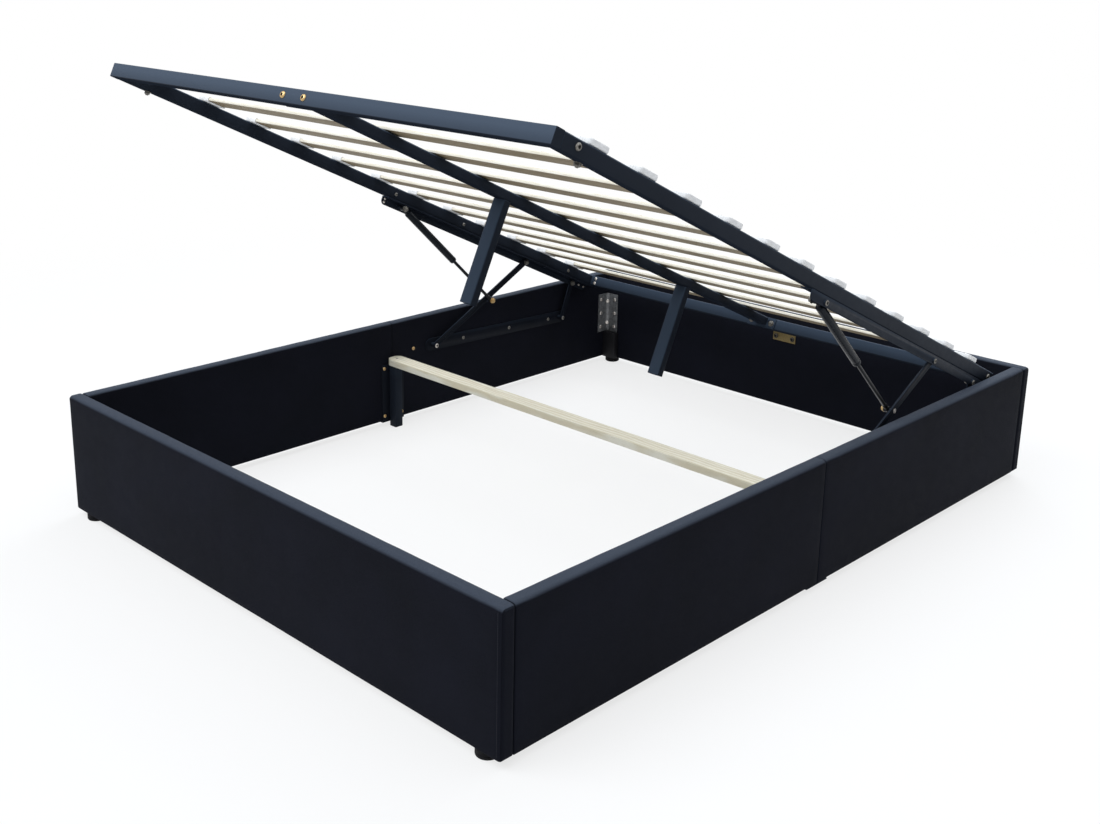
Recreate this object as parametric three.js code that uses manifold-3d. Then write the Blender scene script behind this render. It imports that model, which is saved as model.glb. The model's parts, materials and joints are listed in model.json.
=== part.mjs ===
// Ottoman bed: an upholstered frame whose slatted steel platform lifts at the foot end on a
// four-bar hinge at each side, held up by gas struts. It is modelled open. Millimetres, +Z up,
// origin on the floor under the middle of the frame, head end towards +Y, X across the bed.
import * as THREE from "three";
import { mergeVertices } from "three/addons/utils/BufferGeometryUtils.js";
import Module from "manifold-3d";

const wasm = await Module();
wasm.setup();

// Upholstered frame
const BED_WIDTH = 1592;
const BED_LENGTH = 2092;
const PANEL_HEIGHT = 311;
const PANEL_THICKNESS = 37;
const PANEL_INNER_TOP_RADIUS = 8;
const PANEL_OUTER_TOP_RADIUS = 15;
const PANEL_BOTTOM_RADIUS = 4;
const PANEL_END_RADIUS = 6;
const PANEL_CROWN = 1.5;
const CROWN_RUN = 60;
const SEAM_GAP = 0.3;

// Feet under the end panels, and the blocks and brackets in the corners
const FOOT_HEIGHT = 18;
const FOOT_RADIUS = 25;
const FOOT_CHAMFER = 3;
const FOOT_FROM_SIDE = 60;
const FOOT_FROM_END = 27;
const BRACKET_REACH = 50;
const BRACKET_BEND = 15;
const BRACKET_PLATE = 2.5;
const BRACKET_HEIGHT = 140;
const BRACKET_BELOW_TOP = 77;
const BLOCK_WIDTH = 56;
const BLOCK_DEPTH = 20;

// Middle of the frame: joint plates, legs, timber cross slat, and the plate on the head panel
const JOINT_PLATE_LENGTH = 86;
const JOINT_PLATE_HEIGHT = 183;
const JOINT_PLATE_SETBACK = 2;
const STEEL_PLATE = 3;
const MID_LEG_SIDE = 28;
const MID_LEG_WALL = 2;
const TIMBER_WIDTH = 50;
const TIMBER_THICKNESS = 20;
const TIMBER_BELOW_TOP = 107;
const TIMBER_CORNER = 20;
const TIMBER_HOLE_RADIUS = 5;
const TIMBER_HOLE_INSET = 22;
const TIMBER_END_GAP = 1;
const HEAD_PLATE_LENGTH = 85;
const HEAD_PLATE_HEIGHT = 27;
const HEAD_PLATE_BELOW_TOP = 67;

// Steel platform
const PLATFORM_TILT_DEGREES = 25;
const PLATFORM_SIDE_GAP = 11;
const PLATFORM_FOOT_GAP = 7.5;
const PLATFORM_HEAD_GAP = 24.5;
const PLATFORM_BELOW_TOP = 30.4;
const TUBE_HEIGHT = 35;
const TUBE_WIDTH = 25;
const TUBE_WALL = 2;
const CLEARANCE = 0.3;
const SPIGOT_LENGTH = 100;
const CROSSBAR_FROM_HEAD = 16;
const CENTRE_BAR_WIDTH = 40;
const CENTRE_BAR_HEIGHT = 25;
const END_FLANGE_WIDTH = 100;
const CENTRE_BOLT_SPACING = 72;
const CENTRE_BOLT_RADIUS = 4.5;
const CENTRE_LEG_WIDTH = 40;
const CENTRE_LEG_DEPTH = 25;
const CENTRE_LEG_FLOOR_GAP = 5;
const CENTRE_LEG_FROM_FOOT = 680;
const CENTRE_LEG_FROM_HEAD = 492;

// Sprung slats and their end caps
const SLAT_WIDTH = 53;
const SLAT_THICKNESS = 8;
const SLAT_EDGE = 2.5;
const SLAT_COUNT = 12;
const FIRST_SLAT_FROM_FOOT = 125;
const LAST_SLAT_FROM_HEAD = 151.6;
const SLAT_END_INSET = 6;
const CAP_FLOOR = 3;
const CAP_ROOF = 2.5;
const CAP_LENGTH = 46;
const CAP_SIDE = 2.5;
const CAP_EDGE = 3;

// Lift mechanism. Pivot heights are depths under the panels' top edge or under the platform's
// top face, and pivot distances run from the head end.
const BASE_PLATE_HEIGHT = 40;
const BASE_PLATE_OVERHANG = 28;
const BASE_FRONT_PIVOT_FROM_HEAD = 845.1;
const BASE_FRONT_PIVOT_DROP = 99.8;
const BASE_REAR_PIVOT_FROM_HEAD = 259.7;
const BASE_REAR_PIVOT_DROP = 118.6;
const BAR_FRONT_PIVOT_FROM_HEAD = 371;
const BAR_FRONT_PIVOT_DROP = 49.4;
const BAR_REAR_PIVOT_FROM_HEAD = 115.4;
const BAR_REAR_PIVOT_DROP = 51.8;
const BAR_LENGTH = 1010;
const BAR_FROM_HEAD = 31;
const BAR_FLANGE = 32;
const BAR_DEPTH = 24.7;
const BAR_NOSE_RADIUS = 14;
const LINK_WIDTH = 20;
const LINK_THICKNESS = 5;
const LINK_GAP = 1;
const PIN_RADIUS = 5;
const PIN_CLEARANCE = 0.3;
const PIN_HEAD_RADIUS = 8;
const PIN_HEAD_HEIGHT = 3;
const BOSS_RADIUS = 8;

// Gas struts
const STRUT_PIVOT_FROM_BAR_FRONT = 70;
const STRUT_PIVOT_DROP = 50;
const STRUT_STUD_ALONG_LINK = 251;
const STRUT_STUD_OFFSET = 5;
const STRUT_FROM_LINK = 17;
const STRUT_TUBE_RADIUS = 11;
const STRUT_TUBE_SHARE = 0.552;
const STRUT_TUBE_START = 24;
const STRUT_BORE_START = 66;
const STRUT_ROD_RADIUS = 5;
const STRUT_ROD_CLEARANCE = 0.4;
const STRUT_ROD_GRIP = 70;
const STRUT_EYE_RADIUS = 8;
const STRUT_EYE_WIDTH = 12;
const STRUT_NECK_RADIUS = 5;
const STRUT_PIN_RADIUS = 4;
const STRUT_EDGE = 2;

// Cutters run past the faces that they cut by this much.
const OVERRUN = 2;
const ROUND_STEPS = 16;

const HALF_WIDTH = BED_WIDTH / 2;
const HALF_LENGTH = BED_LENGTH / 2;
const INNER_X = HALF_WIDTH - PANEL_THICKNESS;
const INNER_Y = HALF_LENGTH - PANEL_THICKNESS;
const PANEL_TOP = FOOT_HEIGHT + PANEL_HEIGHT;
const TILT = THREE.MathUtils.degToRad(PLATFORM_TILT_DEGREES);
const PLATFORM_HALF_WIDTH = INNER_X - PLATFORM_SIDE_GAP;
const PLATFORM_LENGTH = 2 * INNER_Y - PLATFORM_FOOT_GAP - PLATFORM_HEAD_GAP;

const SIDES = [
  { name: "left", sign: -1 },
  { name: "right", sign: 1 },
];
const ENDS = [
  { name: "foot", sign: -1 },
  { name: "head", sign: 1 },
];

// Materials, as the photograph shows them
const finish = (color, roughness, metalness) => ({ color, roughness, metalness });
const FINISHES = {
  leather: finish(0x1b1d25, 0.5, 0),
  coated: finish(0x252a33, 0.42, 0.35),
  bracket: finish(0x77787a, 0.45, 0.8),
  yellowZinc: finish(0xa98f4e, 0.4, 0.8),
  pine: finish(0xd8c9a3, 0.7, 0),
  slat: finish(0xe6dcc2, 0.6, 0),
  rubber: finish(0x0e0e10, 0.7, 0),
  strut: finish(0x15161a, 0.3, 0.5),
  rod: finish(0x2b2d31, 0.25, 0.9),
};

function addMesh(group, name, geometry, look) {
  const mesh = new THREE.Mesh(geometry, new THREE.MeshStandardMaterial(FINISHES[look]));
  mesh.name = name;
  group.add(mesh);
  return mesh;
}

// Solids for joins and cuts
function toSolid(geometry) {
  const bare = geometry.clone();
  bare.deleteAttribute("normal");
  bare.deleteAttribute("uv");
  const merged = mergeVertices(bare);
  return new wasm.Manifold(
    new wasm.Mesh({
      numProp: 3,
      vertProperties: new Float32Array(merged.attributes.position.array),
      triVerts: new Uint32Array(merged.index.array),
    }),
  );
}

function toGeometry(solid) {
  const mesh = solid.getMesh();
  const geometry = new THREE.BufferGeometry();
  geometry.setAttribute("position", new THREE.BufferAttribute(new Float32Array(mesh.vertProperties), 3));
  geometry.setIndex(new THREE.BufferAttribute(new Uint32Array(mesh.triVerts), 1));
  return geometry;
}

function joined(first, ...others) {
  return toGeometry(others.reduce((sum, other) => sum.add(toSolid(other)), toSolid(first)));
}

function cut(body, ...tools) {
  return toGeometry(tools.reduce((rest, tool) => rest.subtract(toSolid(tool)), toSolid(body)));
}

// A box given by its limits on each axis
function boxBetween(x0, x1, y0, y1, z0, z1) {
  const box = new THREE.BoxGeometry(x1 - x0, y1 - y0, z1 - z0);
  box.translate((x0 + x1) / 2, (y0 + y1) / 2, (z0 + z1) / 2);
  return box;
}

// A round bar along X between two distances from the middle, on the side that sign gives
function barAcross(sign, near, far, y, z, radius) {
  const bar = new THREE.CylinderGeometry(radius, radius, far - near, ROUND_STEPS);
  bar.rotateZ(Math.PI / 2);
  bar.translate((sign * (near + far)) / 2, y, z);
  return bar;
}

// A plate in the YZ plane: the outline's own x and y run along Y and Z.
function plateAcross(sign, near, far, outline) {
  const plate = new THREE.ExtrudeGeometry(outline, {
    depth: far - near,
    bevelEnabled: false,
    curveSegments: ROUND_STEPS / 2,
  });
  const yAxis = new THREE.Vector3(0, 1, 0);
  const zAxis = new THREE.Vector3(0, 0, 1);
  const xAxis = new THREE.Vector3(1, 0, 0);
  plate.applyMatrix4(new THREE.Matrix4().makeBasis(yAxis, zAxis, xAxis));
  plate.translate(sign > 0 ? near : -far, 0, 0);
  return plate;
}

// An outline with round ends, from one centre to another along a straight line
function roundEnded(startX, endX, radius) {
  const outline = new THREE.Shape();
  outline.absarc(endX, 0, radius, -Math.PI / 2, Math.PI / 2, false);
  outline.absarc(startX, 0, radius, Math.PI / 2, (3 * Math.PI) / 2, false);
  outline.closePath();
  return outline;
}

function roundHole(outline, x, y, radius) {
  const hole = new THREE.Path();
  hole.absarc(x, y, radius, 0, 2 * Math.PI, true);
  outline.holes.push(hole);
  return outline;
}

function roundedRectangle(halfX, halfY, radius) {
  const outline = new THREE.Shape();
  outline.absarc(halfX - radius, -halfY + radius, radius, -Math.PI / 2, 0, false);
  outline.absarc(halfX - radius, halfY - radius, radius, 0, Math.PI / 2, false);
  outline.absarc(-halfX + radius, halfY - radius, radius, Math.PI / 2, Math.PI, false);
  outline.absarc(-halfX + radius, -halfY + radius, radius, Math.PI, (3 * Math.PI) / 2, false);
  outline.closePath();
  return outline;
}

// A square tube along one axis: the outer box less the bore, which stays inside by the wall on
// its closed ends and runs out through its open ones.
function hollow(outer, wall, opened) {
  const box = new THREE.Box3().setFromBufferAttribute(outer.attributes.position);
  const low = box.min.clone().addScalar(wall);
  const high = box.max.clone().addScalar(-wall);
  low.sub(opened.low.clone().multiplyScalar(wall + OVERRUN));
  high.add(opened.high.clone().multiplyScalar(wall + OVERRUN));
  return boxBetween(low.x, high.x, low.y, high.y, low.z, high.z);
}

// Padded panel: a board wrapped in foam and faux leather. Length along X, inner face flat at
// y = 0, outer face crowned towards -Y, bottom at z = 0.
const CORNER_STEPS = 4;
const CROWN_STEPS = 6;
const END_STEPS = 3;
const CROWN_RUN_SHARES = [0.3, 1];

function panelSection(inset, crownShare) {
  const outer = -(PANEL_THICKNESS - PANEL_CROWN) + inset;
  const corners = [
    { y: -inset, z: inset, radius: PANEL_BOTTOM_RADIUS, ySign: 1, zSign: -1 },
    { y: -inset, z: PANEL_HEIGHT - inset, radius: PANEL_INNER_TOP_RADIUS, ySign: 1, zSign: 1 },
    { y: outer, z: PANEL_HEIGHT - inset, radius: PANEL_OUTER_TOP_RADIUS, ySign: -1, zSign: 1 },
    { y: outer, z: inset, radius: PANEL_BOTTOM_RADIUS, ySign: -1, zSign: -1 },
  ];
  const points = [];
  corners.forEach((corner, index) => {
    const radius = Math.max(corner.radius - inset, corner.radius / 4);
    const startsUpright = index === 1 || index === 3;
    for (let step = 0; step <= CORNER_STEPS; step += 1) {
      const turn = ((startsUpright ? step : CORNER_STEPS - step) / CORNER_STEPS) * (Math.PI / 2);
      const y = corner.y - corner.ySign * radius * (1 - Math.cos(turn));
      const z = corner.z - corner.zSign * radius * (1 - Math.sin(turn));
      points.push([y, z]);
    }
    if (index !== 2) return;
    const low = inset + PANEL_BOTTOM_RADIUS;
    const high = PANEL_HEIGHT - inset - PANEL_OUTER_TOP_RADIUS;
    for (let step = 1; step < CROWN_STEPS; step += 1) {
      const share = step / CROWN_STEPS;
      const bulge = PANEL_CROWN * crownShare * Math.sin(Math.PI * share);
      points.push([outer - bulge, high + (low - high) * share]);
    }
  });
  return points;
}

function paddedPanel(length) {
  const half = length / 2;
  const rings = [];
  for (let step = 0; step <= END_STEPS; step += 1) {
    const turn = (step / END_STEPS) * (Math.PI / 2);
    const inset = PANEL_END_RADIUS * (1 - Math.sin(turn));
    const x = -half + PANEL_END_RADIUS * (1 - Math.cos(turn));
    rings.push({ x, section: panelSection(inset, 0) });
  }
  for (const share of CROWN_RUN_SHARES) {
    const x = -half + PANEL_END_RADIUS + CROWN_RUN * share;
    rings.push({ x, section: panelSection(0, Math.sin((share * Math.PI) / 2)) });
  }
  const mirrored = rings.map((ring) => ({ x: -ring.x, section: ring.section })).reverse();
  return loft([...rings, ...mirrored]);
}

// Skins a row of equal sections along X and closes both ends with a fan.
function loft(rings) {
  const count = rings[0].section.length;
  const positions = [];
  const index = [];
  rings.forEach(({ x, section }) => section.forEach(([y, z]) => positions.push(x, y, z)));
  for (let ring = 0; ring + 1 < rings.length; ring += 1) {
    for (let point = 0; point < count; point += 1) {
      const next = (point + 1) % count;
      const a = ring * count + point;
      const b = ring * count + next;
      index.push(a, b, a + count, b, b + count, a + count);
    }
  }
  for (const ring of [0, rings.length - 1]) {
    const { x, section } = rings[ring];
    const centre = positions.length / 3;
    const meanY = section.reduce((sum, [y]) => sum + y, 0) / count;
    const meanZ = section.reduce((sum, [, z]) => sum + z, 0) / count;
    positions.push(x, meanY, meanZ);
    for (let point = 0; point < count; point += 1) {
      const a = ring * count + point;
      const b = ring * count + ((point + 1) % count);
      index.push(...(ring === 0 ? [centre, b, a] : [centre, a, b]));
    }
  }
  const geometry = new THREE.BufferGeometry();
  geometry.setAttribute("position", new THREE.Float32BufferAttribute(positions, 3));
  geometry.setIndex(index);
  return geometry;
}

// End panels span the full width, and each side rail is two halves between them.
function addPanels(group) {
  for (const end of ENDS) {
    const panel = addMesh(group, `${end.name}_panel`, paddedPanel(BED_WIDTH), "leather");
    panel.position.set(0, end.sign * INNER_Y, FOOT_HEIGHT);
    panel.rotation.z = end.sign > 0 ? Math.PI : 0;
  }
  const railLength = INNER_Y - SEAM_GAP * 1.5;
  for (const side of SIDES) {
    for (const end of ENDS) {
      const name = `side_rail_${side.name}_${end.name}`;
      const rail = addMesh(group, name, paddedPanel(railLength), "leather");
      const middle = (INNER_Y - SEAM_GAP / 2) / 2;
      rail.position.set(side.sign * INNER_X, end.sign * middle, FOOT_HEIGHT);
      rail.rotation.z = (side.sign * Math.PI) / 2;
    }
  }
}

function footGeometry() {
  const profile = [
    new THREE.Vector2(0, 0),
    new THREE.Vector2(FOOT_RADIUS - FOOT_CHAMFER, 0),
    new THREE.Vector2(FOOT_RADIUS, FOOT_CHAMFER),
    new THREE.Vector2(FOOT_RADIUS, FOOT_HEIGHT),
    new THREE.Vector2(0, FOOT_HEIGHT),
  ];
  const foot = new THREE.LatheGeometry(profile, ROUND_STEPS + ROUND_STEPS / 2);
  foot.rotateX(Math.PI / 2);
  return foot;
}

// Steel corner bracket: two flanges with a round bend, seen in plan, corner at the origin
function bracketGeometry() {
  const outline = new THREE.Shape();
  outline.moveTo(BRACKET_REACH, 0);
  outline.lineTo(BRACKET_REACH, BRACKET_PLATE);
  outline.absarc(
    BRACKET_BEND, BRACKET_BEND, BRACKET_BEND - BRACKET_PLATE, (3 * Math.PI) / 2, Math.PI, true,
  );
  outline.lineTo(BRACKET_PLATE, BRACKET_REACH);
  outline.lineTo(0, BRACKET_REACH);
  outline.absarc(BRACKET_BEND, BRACKET_BEND, BRACKET_BEND, Math.PI, (3 * Math.PI) / 2, false);
  outline.closePath();
  return new THREE.ExtrudeGeometry(outline, {
    depth: BRACKET_HEIGHT,
    bevelEnabled: false,
    curveSegments: ROUND_STEPS / 2,
  });
}

const QUARTER_TURNS = { left_foot: 0, right_foot: 1, right_head: 2, left_head: 3 };

function addCorners(group) {
  const bracketBottom = PANEL_TOP - BRACKET_BELOW_TOP - BRACKET_HEIGHT;
  for (const side of SIDES) {
    for (const end of ENDS) {
      const corner = `${side.name}_${end.name}`;
      const foot = addMesh(group, `foot_${corner}`, footGeometry(), "rubber");
      foot.position.set(
        side.sign * (HALF_WIDTH - FOOT_FROM_SIDE), end.sign * (HALF_LENGTH - FOOT_FROM_END), 0,
      );
      const bracket = addMesh(group, `corner_bracket_${corner}`, bracketGeometry(), "bracket");
      bracket.position.set(side.sign * INNER_X, end.sign * INNER_Y, bracketBottom);
      bracket.rotation.z = (QUARTER_TURNS[corner] * Math.PI) / 2;
      const height = bracketBottom - FOOT_HEIGHT;
      const block = new THREE.BoxGeometry(BLOCK_WIDTH, BLOCK_DEPTH, height);
      const blockMesh = addMesh(group, `corner_block_${corner}`, block, "rubber");
      blockMesh.position.set(
        side.sign * (INNER_X - BLOCK_WIDTH / 2),
        end.sign * (INNER_Y - BLOCK_DEPTH / 2),
        FOOT_HEIGHT + height / 2,
      );
    }
  }
}

// Joint plate: flat on the inner faces of both rail halves and turned out under them. Origin at
// the rails' lower inner edge, the rails towards +X.
function jointPlateGeometry() {
  const half = JOINT_PLATE_LENGTH / 2;
  const reach = PANEL_THICKNESS - JOINT_PLATE_SETBACK;
  const upright = boxBetween(-STEEL_PLATE, 0, -half, half, -STEEL_PLATE, JOINT_PLATE_HEIGHT);
  return joined(upright, boxBetween(-STEEL_PLATE, reach, -half, half, -STEEL_PLATE, 0));
}

// Joint plates over the rail seams, a leg under each seam, and the timber slat across them
function addMiddle(group) {
  const timberBottom = PANEL_TOP - TIMBER_BELOW_TOP - TIMBER_THICKNESS;
  const plateX = INNER_X - STEEL_PLATE;
  for (const { name, sign } of SIDES) {
    const plate = addMesh(group, `joint_plate_${name}`, jointPlateGeometry(), "coated");
    plate.position.set(sign * INNER_X, 0, FOOT_HEIGHT);
    plate.rotation.z = sign > 0 ? 0 : Math.PI;
    const half = MID_LEG_SIDE / 2;
    const outer = boxBetween(-half, half, -half, half, 0, timberBottom);
    const opened = { low: new THREE.Vector3(0, 0, 0), high: new THREE.Vector3(0, 0, 1) };
    const leg = cut(outer, hollow(outer, MID_LEG_WALL, opened));
    const legMesh = addMesh(group, `mid_leg_${name}`, leg, "coated");
    legMesh.position.set(sign * (plateX - half), 0, 0);
  }
  const timberHalf = INNER_X - TIMBER_END_GAP;
  const outline = roundedRectangle(timberHalf, TIMBER_WIDTH / 2, TIMBER_CORNER);
  roundHole(outline, timberHalf - TIMBER_HOLE_INSET, 0, TIMBER_HOLE_RADIUS);
  roundHole(outline, -timberHalf + TIMBER_HOLE_INSET, 0, TIMBER_HOLE_RADIUS);
  const timber = new THREE.ExtrudeGeometry(outline, {
    depth: TIMBER_THICKNESS,
    bevelEnabled: false,
    curveSegments: ROUND_STEPS / 2,
  });
  addMesh(group, "timber_cross_slat", timber, "pine").position.z = timberBottom;
  const headPlate = new THREE.BoxGeometry(HEAD_PLATE_LENGTH, STEEL_PLATE, HEAD_PLATE_HEIGHT);
  const headPlateMesh = addMesh(group, "head_panel_plate", headPlate, "yellowZinc");
  headPlateMesh.position.set(
    0, INNER_Y - STEEL_PLATE / 2, PANEL_TOP - HEAD_PLATE_BELOW_TOP - HEAD_PLATE_HEIGHT / 2,
  );
}

// Places of the linkage in the YZ plane. The closed platform lies level inside the frame, which
// fixes both link lengths, and the open pose is where both links still reach at the full tilt.
const point = (y, z) => new THREE.Vector2(y, z);

const baseFrontPivot = point(
  INNER_Y - BASE_FRONT_PIVOT_FROM_HEAD, PANEL_TOP - BASE_FRONT_PIVOT_DROP,
);
const baseRearPivot = point(
  INNER_Y - BASE_REAR_PIVOT_FROM_HEAD, PANEL_TOP - BASE_REAR_PIVOT_DROP,
);
const barFrontPivot = point(PLATFORM_LENGTH - BAR_FRONT_PIVOT_FROM_HEAD, -BAR_FRONT_PIVOT_DROP);
const barRearPivot = point(PLATFORM_LENGTH - BAR_REAR_PIVOT_FROM_HEAD, -BAR_REAR_PIVOT_DROP);
const barFront = PLATFORM_LENGTH - BAR_FROM_HEAD - BAR_LENGTH;
const strutPivot = point(barFront + STRUT_PIVOT_FROM_BAR_FRONT, -STRUT_PIVOT_DROP);
const closedPlatform = point(-INNER_Y + PLATFORM_FOOT_GAP, PANEL_TOP - PLATFORM_BELOW_TOP);

function openPlatformPlace() {
  const frontLength = closedPlatform.clone().add(barFrontPivot).distanceTo(baseFrontPivot);
  const rearLength = closedPlatform.clone().add(barRearPivot).distanceTo(baseRearPivot);
  const origin = point(0, 0);
  const first = baseFrontPivot.clone().sub(barFrontPivot.clone().rotateAround(origin, -TILT));
  const second = baseRearPivot.clone().sub(barRearPivot.clone().rotateAround(origin, -TILT));
  const between = second.clone().sub(first);
  const span = between.length();
  const along = (span ** 2 + frontLength ** 2 - rearLength ** 2) / (2 * span);
  const aside = Math.sqrt(frontLength ** 2 - along ** 2);
  const direction = between.divideScalar(span);
  const normal = point(-direction.y, direction.x);
  return first.clone().addScaledVector(direction, along).addScaledVector(normal, aside);
}

const openPlatform = openPlatformPlace();

// A place on the open platform, from platform coordinates to the frame's
const onOpenPlatform = (place) =>
  place.clone().rotateAround(point(0, 0), -TILT).add(openPlatform);

// Layers of the mechanism, as distances from the bed's middle
const BASE_INNER = INNER_X - STEEL_PLATE;
const BAR_OUTER = PLATFORM_HALF_WIDTH;
const BAR_INNER = BAR_OUTER - STEEL_PLATE;
const LINK_OUTER = BAR_INNER - LINK_GAP;
const LINK_INNER = LINK_OUTER - LINK_THICKNESS;
const STRUT_X = LINK_INNER - STRUT_FROM_LINK;
const PIN_TIP = LINK_INNER - CLEARANCE - PIN_HEAD_HEIGHT;

// Front bar, across the full width, with both ends closed
function frontBarGeometry() {
  const outer = boxBetween(
    -PLATFORM_HALF_WIDTH, PLATFORM_HALF_WIDTH, 0, TUBE_WIDTH, -TUBE_HEIGHT, 0,
  );
  const closed = { low: new THREE.Vector3(0, 0, 0), high: new THREE.Vector3(0, 0, 0) };
  return cut(outer, hollow(outer, TUBE_WALL, closed), ...boltHoles(TUBE_WIDTH - TUBE_WALL));
}

// Spigot on the back of the front bar, which a side tube slides over
function spigotGeometry(sign) {
  const middle = sign * (PLATFORM_HALF_WIDTH - TUBE_WIDTH / 2);
  const margin = TUBE_WALL + CLEARANCE;
  const halfWidth = TUBE_WIDTH / 2 - margin;
  return boxBetween(
    middle - halfWidth, middle + halfWidth,
    TUBE_WIDTH, TUBE_WIDTH + SPIGOT_LENGTH,
    -TUBE_HEIGHT + margin, -margin,
  );
}

// Holes for the two bolts that hold the centre bar, through the wall that starts at y
function boltHoles(y) {
  return SIDES.map(({ sign }) => {
    const hole = new THREE.CylinderGeometry(
      CENTRE_BOLT_RADIUS, CENTRE_BOLT_RADIUS, TUBE_WALL + 2 * OVERRUN, ROUND_STEPS,
    );
    hole.translate((sign * CENTRE_BOLT_SPACING) / 2, y + TUBE_WALL / 2, -TUBE_HEIGHT / 2);
    return hole;
  });
}

function headCrossbarGeometry() {
  const halfLength = PLATFORM_HALF_WIDTH - TUBE_WIDTH - CLEARANCE;
  const rear = PLATFORM_LENGTH - CROSSBAR_FROM_HEAD;
  const outer = boxBetween(
    -halfLength, halfLength, rear - TUBE_WIDTH, rear, -TUBE_HEIGHT, 0,
  );
  const closed = { low: new THREE.Vector3(0, 0, 0), high: new THREE.Vector3(0, 0, 0) };
  return cut(outer, hollow(outer, TUBE_WALL, closed), ...boltHoles(rear - TUBE_WIDTH));
}

function sideTubeGeometry(sign) {
  const middle = sign * (PLATFORM_HALF_WIDTH - TUBE_WIDTH / 2);
  const outer = boxBetween(
    middle - TUBE_WIDTH / 2, middle + TUBE_WIDTH / 2,
    TUBE_WIDTH + CLEARANCE, PLATFORM_LENGTH,
    -TUBE_HEIGHT, 0,
  );
  const opened = { low: new THREE.Vector3(0, 1, 0), high: new THREE.Vector3(0, 0, 0) };
  return cut(outer, hollow(outer, TUBE_WALL, opened));
}

// Centre bar, between the bolting flanges at its ends
const FLANGE_PLACES = {
  front: TUBE_WIDTH + CLEARANCE,
  rear: PLATFORM_LENGTH - CROSSBAR_FROM_HEAD - TUBE_WIDTH - CLEARANCE - STEEL_PLATE,
};

function centreBarGeometry() {
  const outer = boxBetween(
    -CENTRE_BAR_WIDTH / 2, CENTRE_BAR_WIDTH / 2,
    FLANGE_PLACES.front + STEEL_PLATE, FLANGE_PLACES.rear,
    -CENTRE_BAR_HEIGHT, 0,
  );
  const opened = { low: new THREE.Vector3(0, 1, 0), high: new THREE.Vector3(0, 1, 0) };
  return cut(outer, hollow(outer, TUBE_WALL, opened));
}

function endFlangeGeometry() {
  const outline = roundedRectangle(END_FLANGE_WIDTH / 2, TUBE_HEIGHT / 2, STEEL_PLATE);
  for (const { sign } of SIDES) {
    roundHole(outline, (sign * CENTRE_BOLT_SPACING) / 2, 0, CENTRE_BOLT_RADIUS);
  }
  const flange = new THREE.ExtrudeGeometry(outline, {
    depth: STEEL_PLATE,
    bevelEnabled: false,
    curveSegments: ROUND_STEPS / 4,
  });
  flange.rotateX(Math.PI / 2);
  flange.translate(0, STEEL_PLATE, -TUBE_HEIGHT / 2);
  return flange;
}

// Centre leg: hangs square to the platform and stops just above the floor when it is closed
function centreLegGeometry() {
  const height = closedPlatform.y - CENTRE_BAR_HEIGHT - CLEARANCE - CENTRE_LEG_FLOOR_GAP;
  const outer = boxBetween(
    -CENTRE_LEG_WIDTH / 2, CENTRE_LEG_WIDTH / 2,
    -CENTRE_LEG_DEPTH / 2, CENTRE_LEG_DEPTH / 2,
    -height, 0,
  );
  const opened = { low: new THREE.Vector3(0, 0, 0), high: new THREE.Vector3(0, 0, 1) };
  return cut(outer, hollow(outer, TUBE_WALL, opened));
}

// Sprung slat in its two end caps. The profile runs along the platform and is extruded across.
function slatGeometry() {
  const slatHalf = PLATFORM_HALF_WIDTH - SLAT_END_INSET;
  const across = (halfLength, halfY, halfZ, edge) => {
    const strip = new THREE.ExtrudeGeometry(roundedRectangle(halfY, halfZ, edge), {
      depth: 2 * halfLength,
      bevelEnabled: false,
      curveSegments: 2,
    });
    const yAxis = new THREE.Vector3(0, 1, 0);
    const zAxis = new THREE.Vector3(0, 0, 1);
    const xAxis = new THREE.Vector3(1, 0, 0);
    strip.applyMatrix4(new THREE.Matrix4().makeBasis(yAxis, zAxis, xAxis));
    strip.translate(-halfLength, 0, 0);
    return strip;
  };
  const slat = across(slatHalf, SLAT_WIDTH / 2, SLAT_THICKNESS / 2, SLAT_EDGE);
  const capHeight = CAP_FLOOR + SLAT_THICKNESS + CAP_ROOF;
  const caps = SIDES.map(({ sign }) => {
    const cap = across(CAP_LENGTH / 2, SLAT_WIDTH / 2 + CAP_SIDE, capHeight / 2, CAP_EDGE);
    cap.translate(
      sign * (PLATFORM_HALF_WIDTH - CAP_LENGTH / 2), 0, (CAP_ROOF - CAP_FLOOR) / 2,
    );
    return cap;
  });
  const whole = joined(slat, ...caps);
  whole.translate(0, 0, CLEARANCE + CAP_FLOOR + SLAT_THICKNESS / 2);
  return whole;
}

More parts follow.
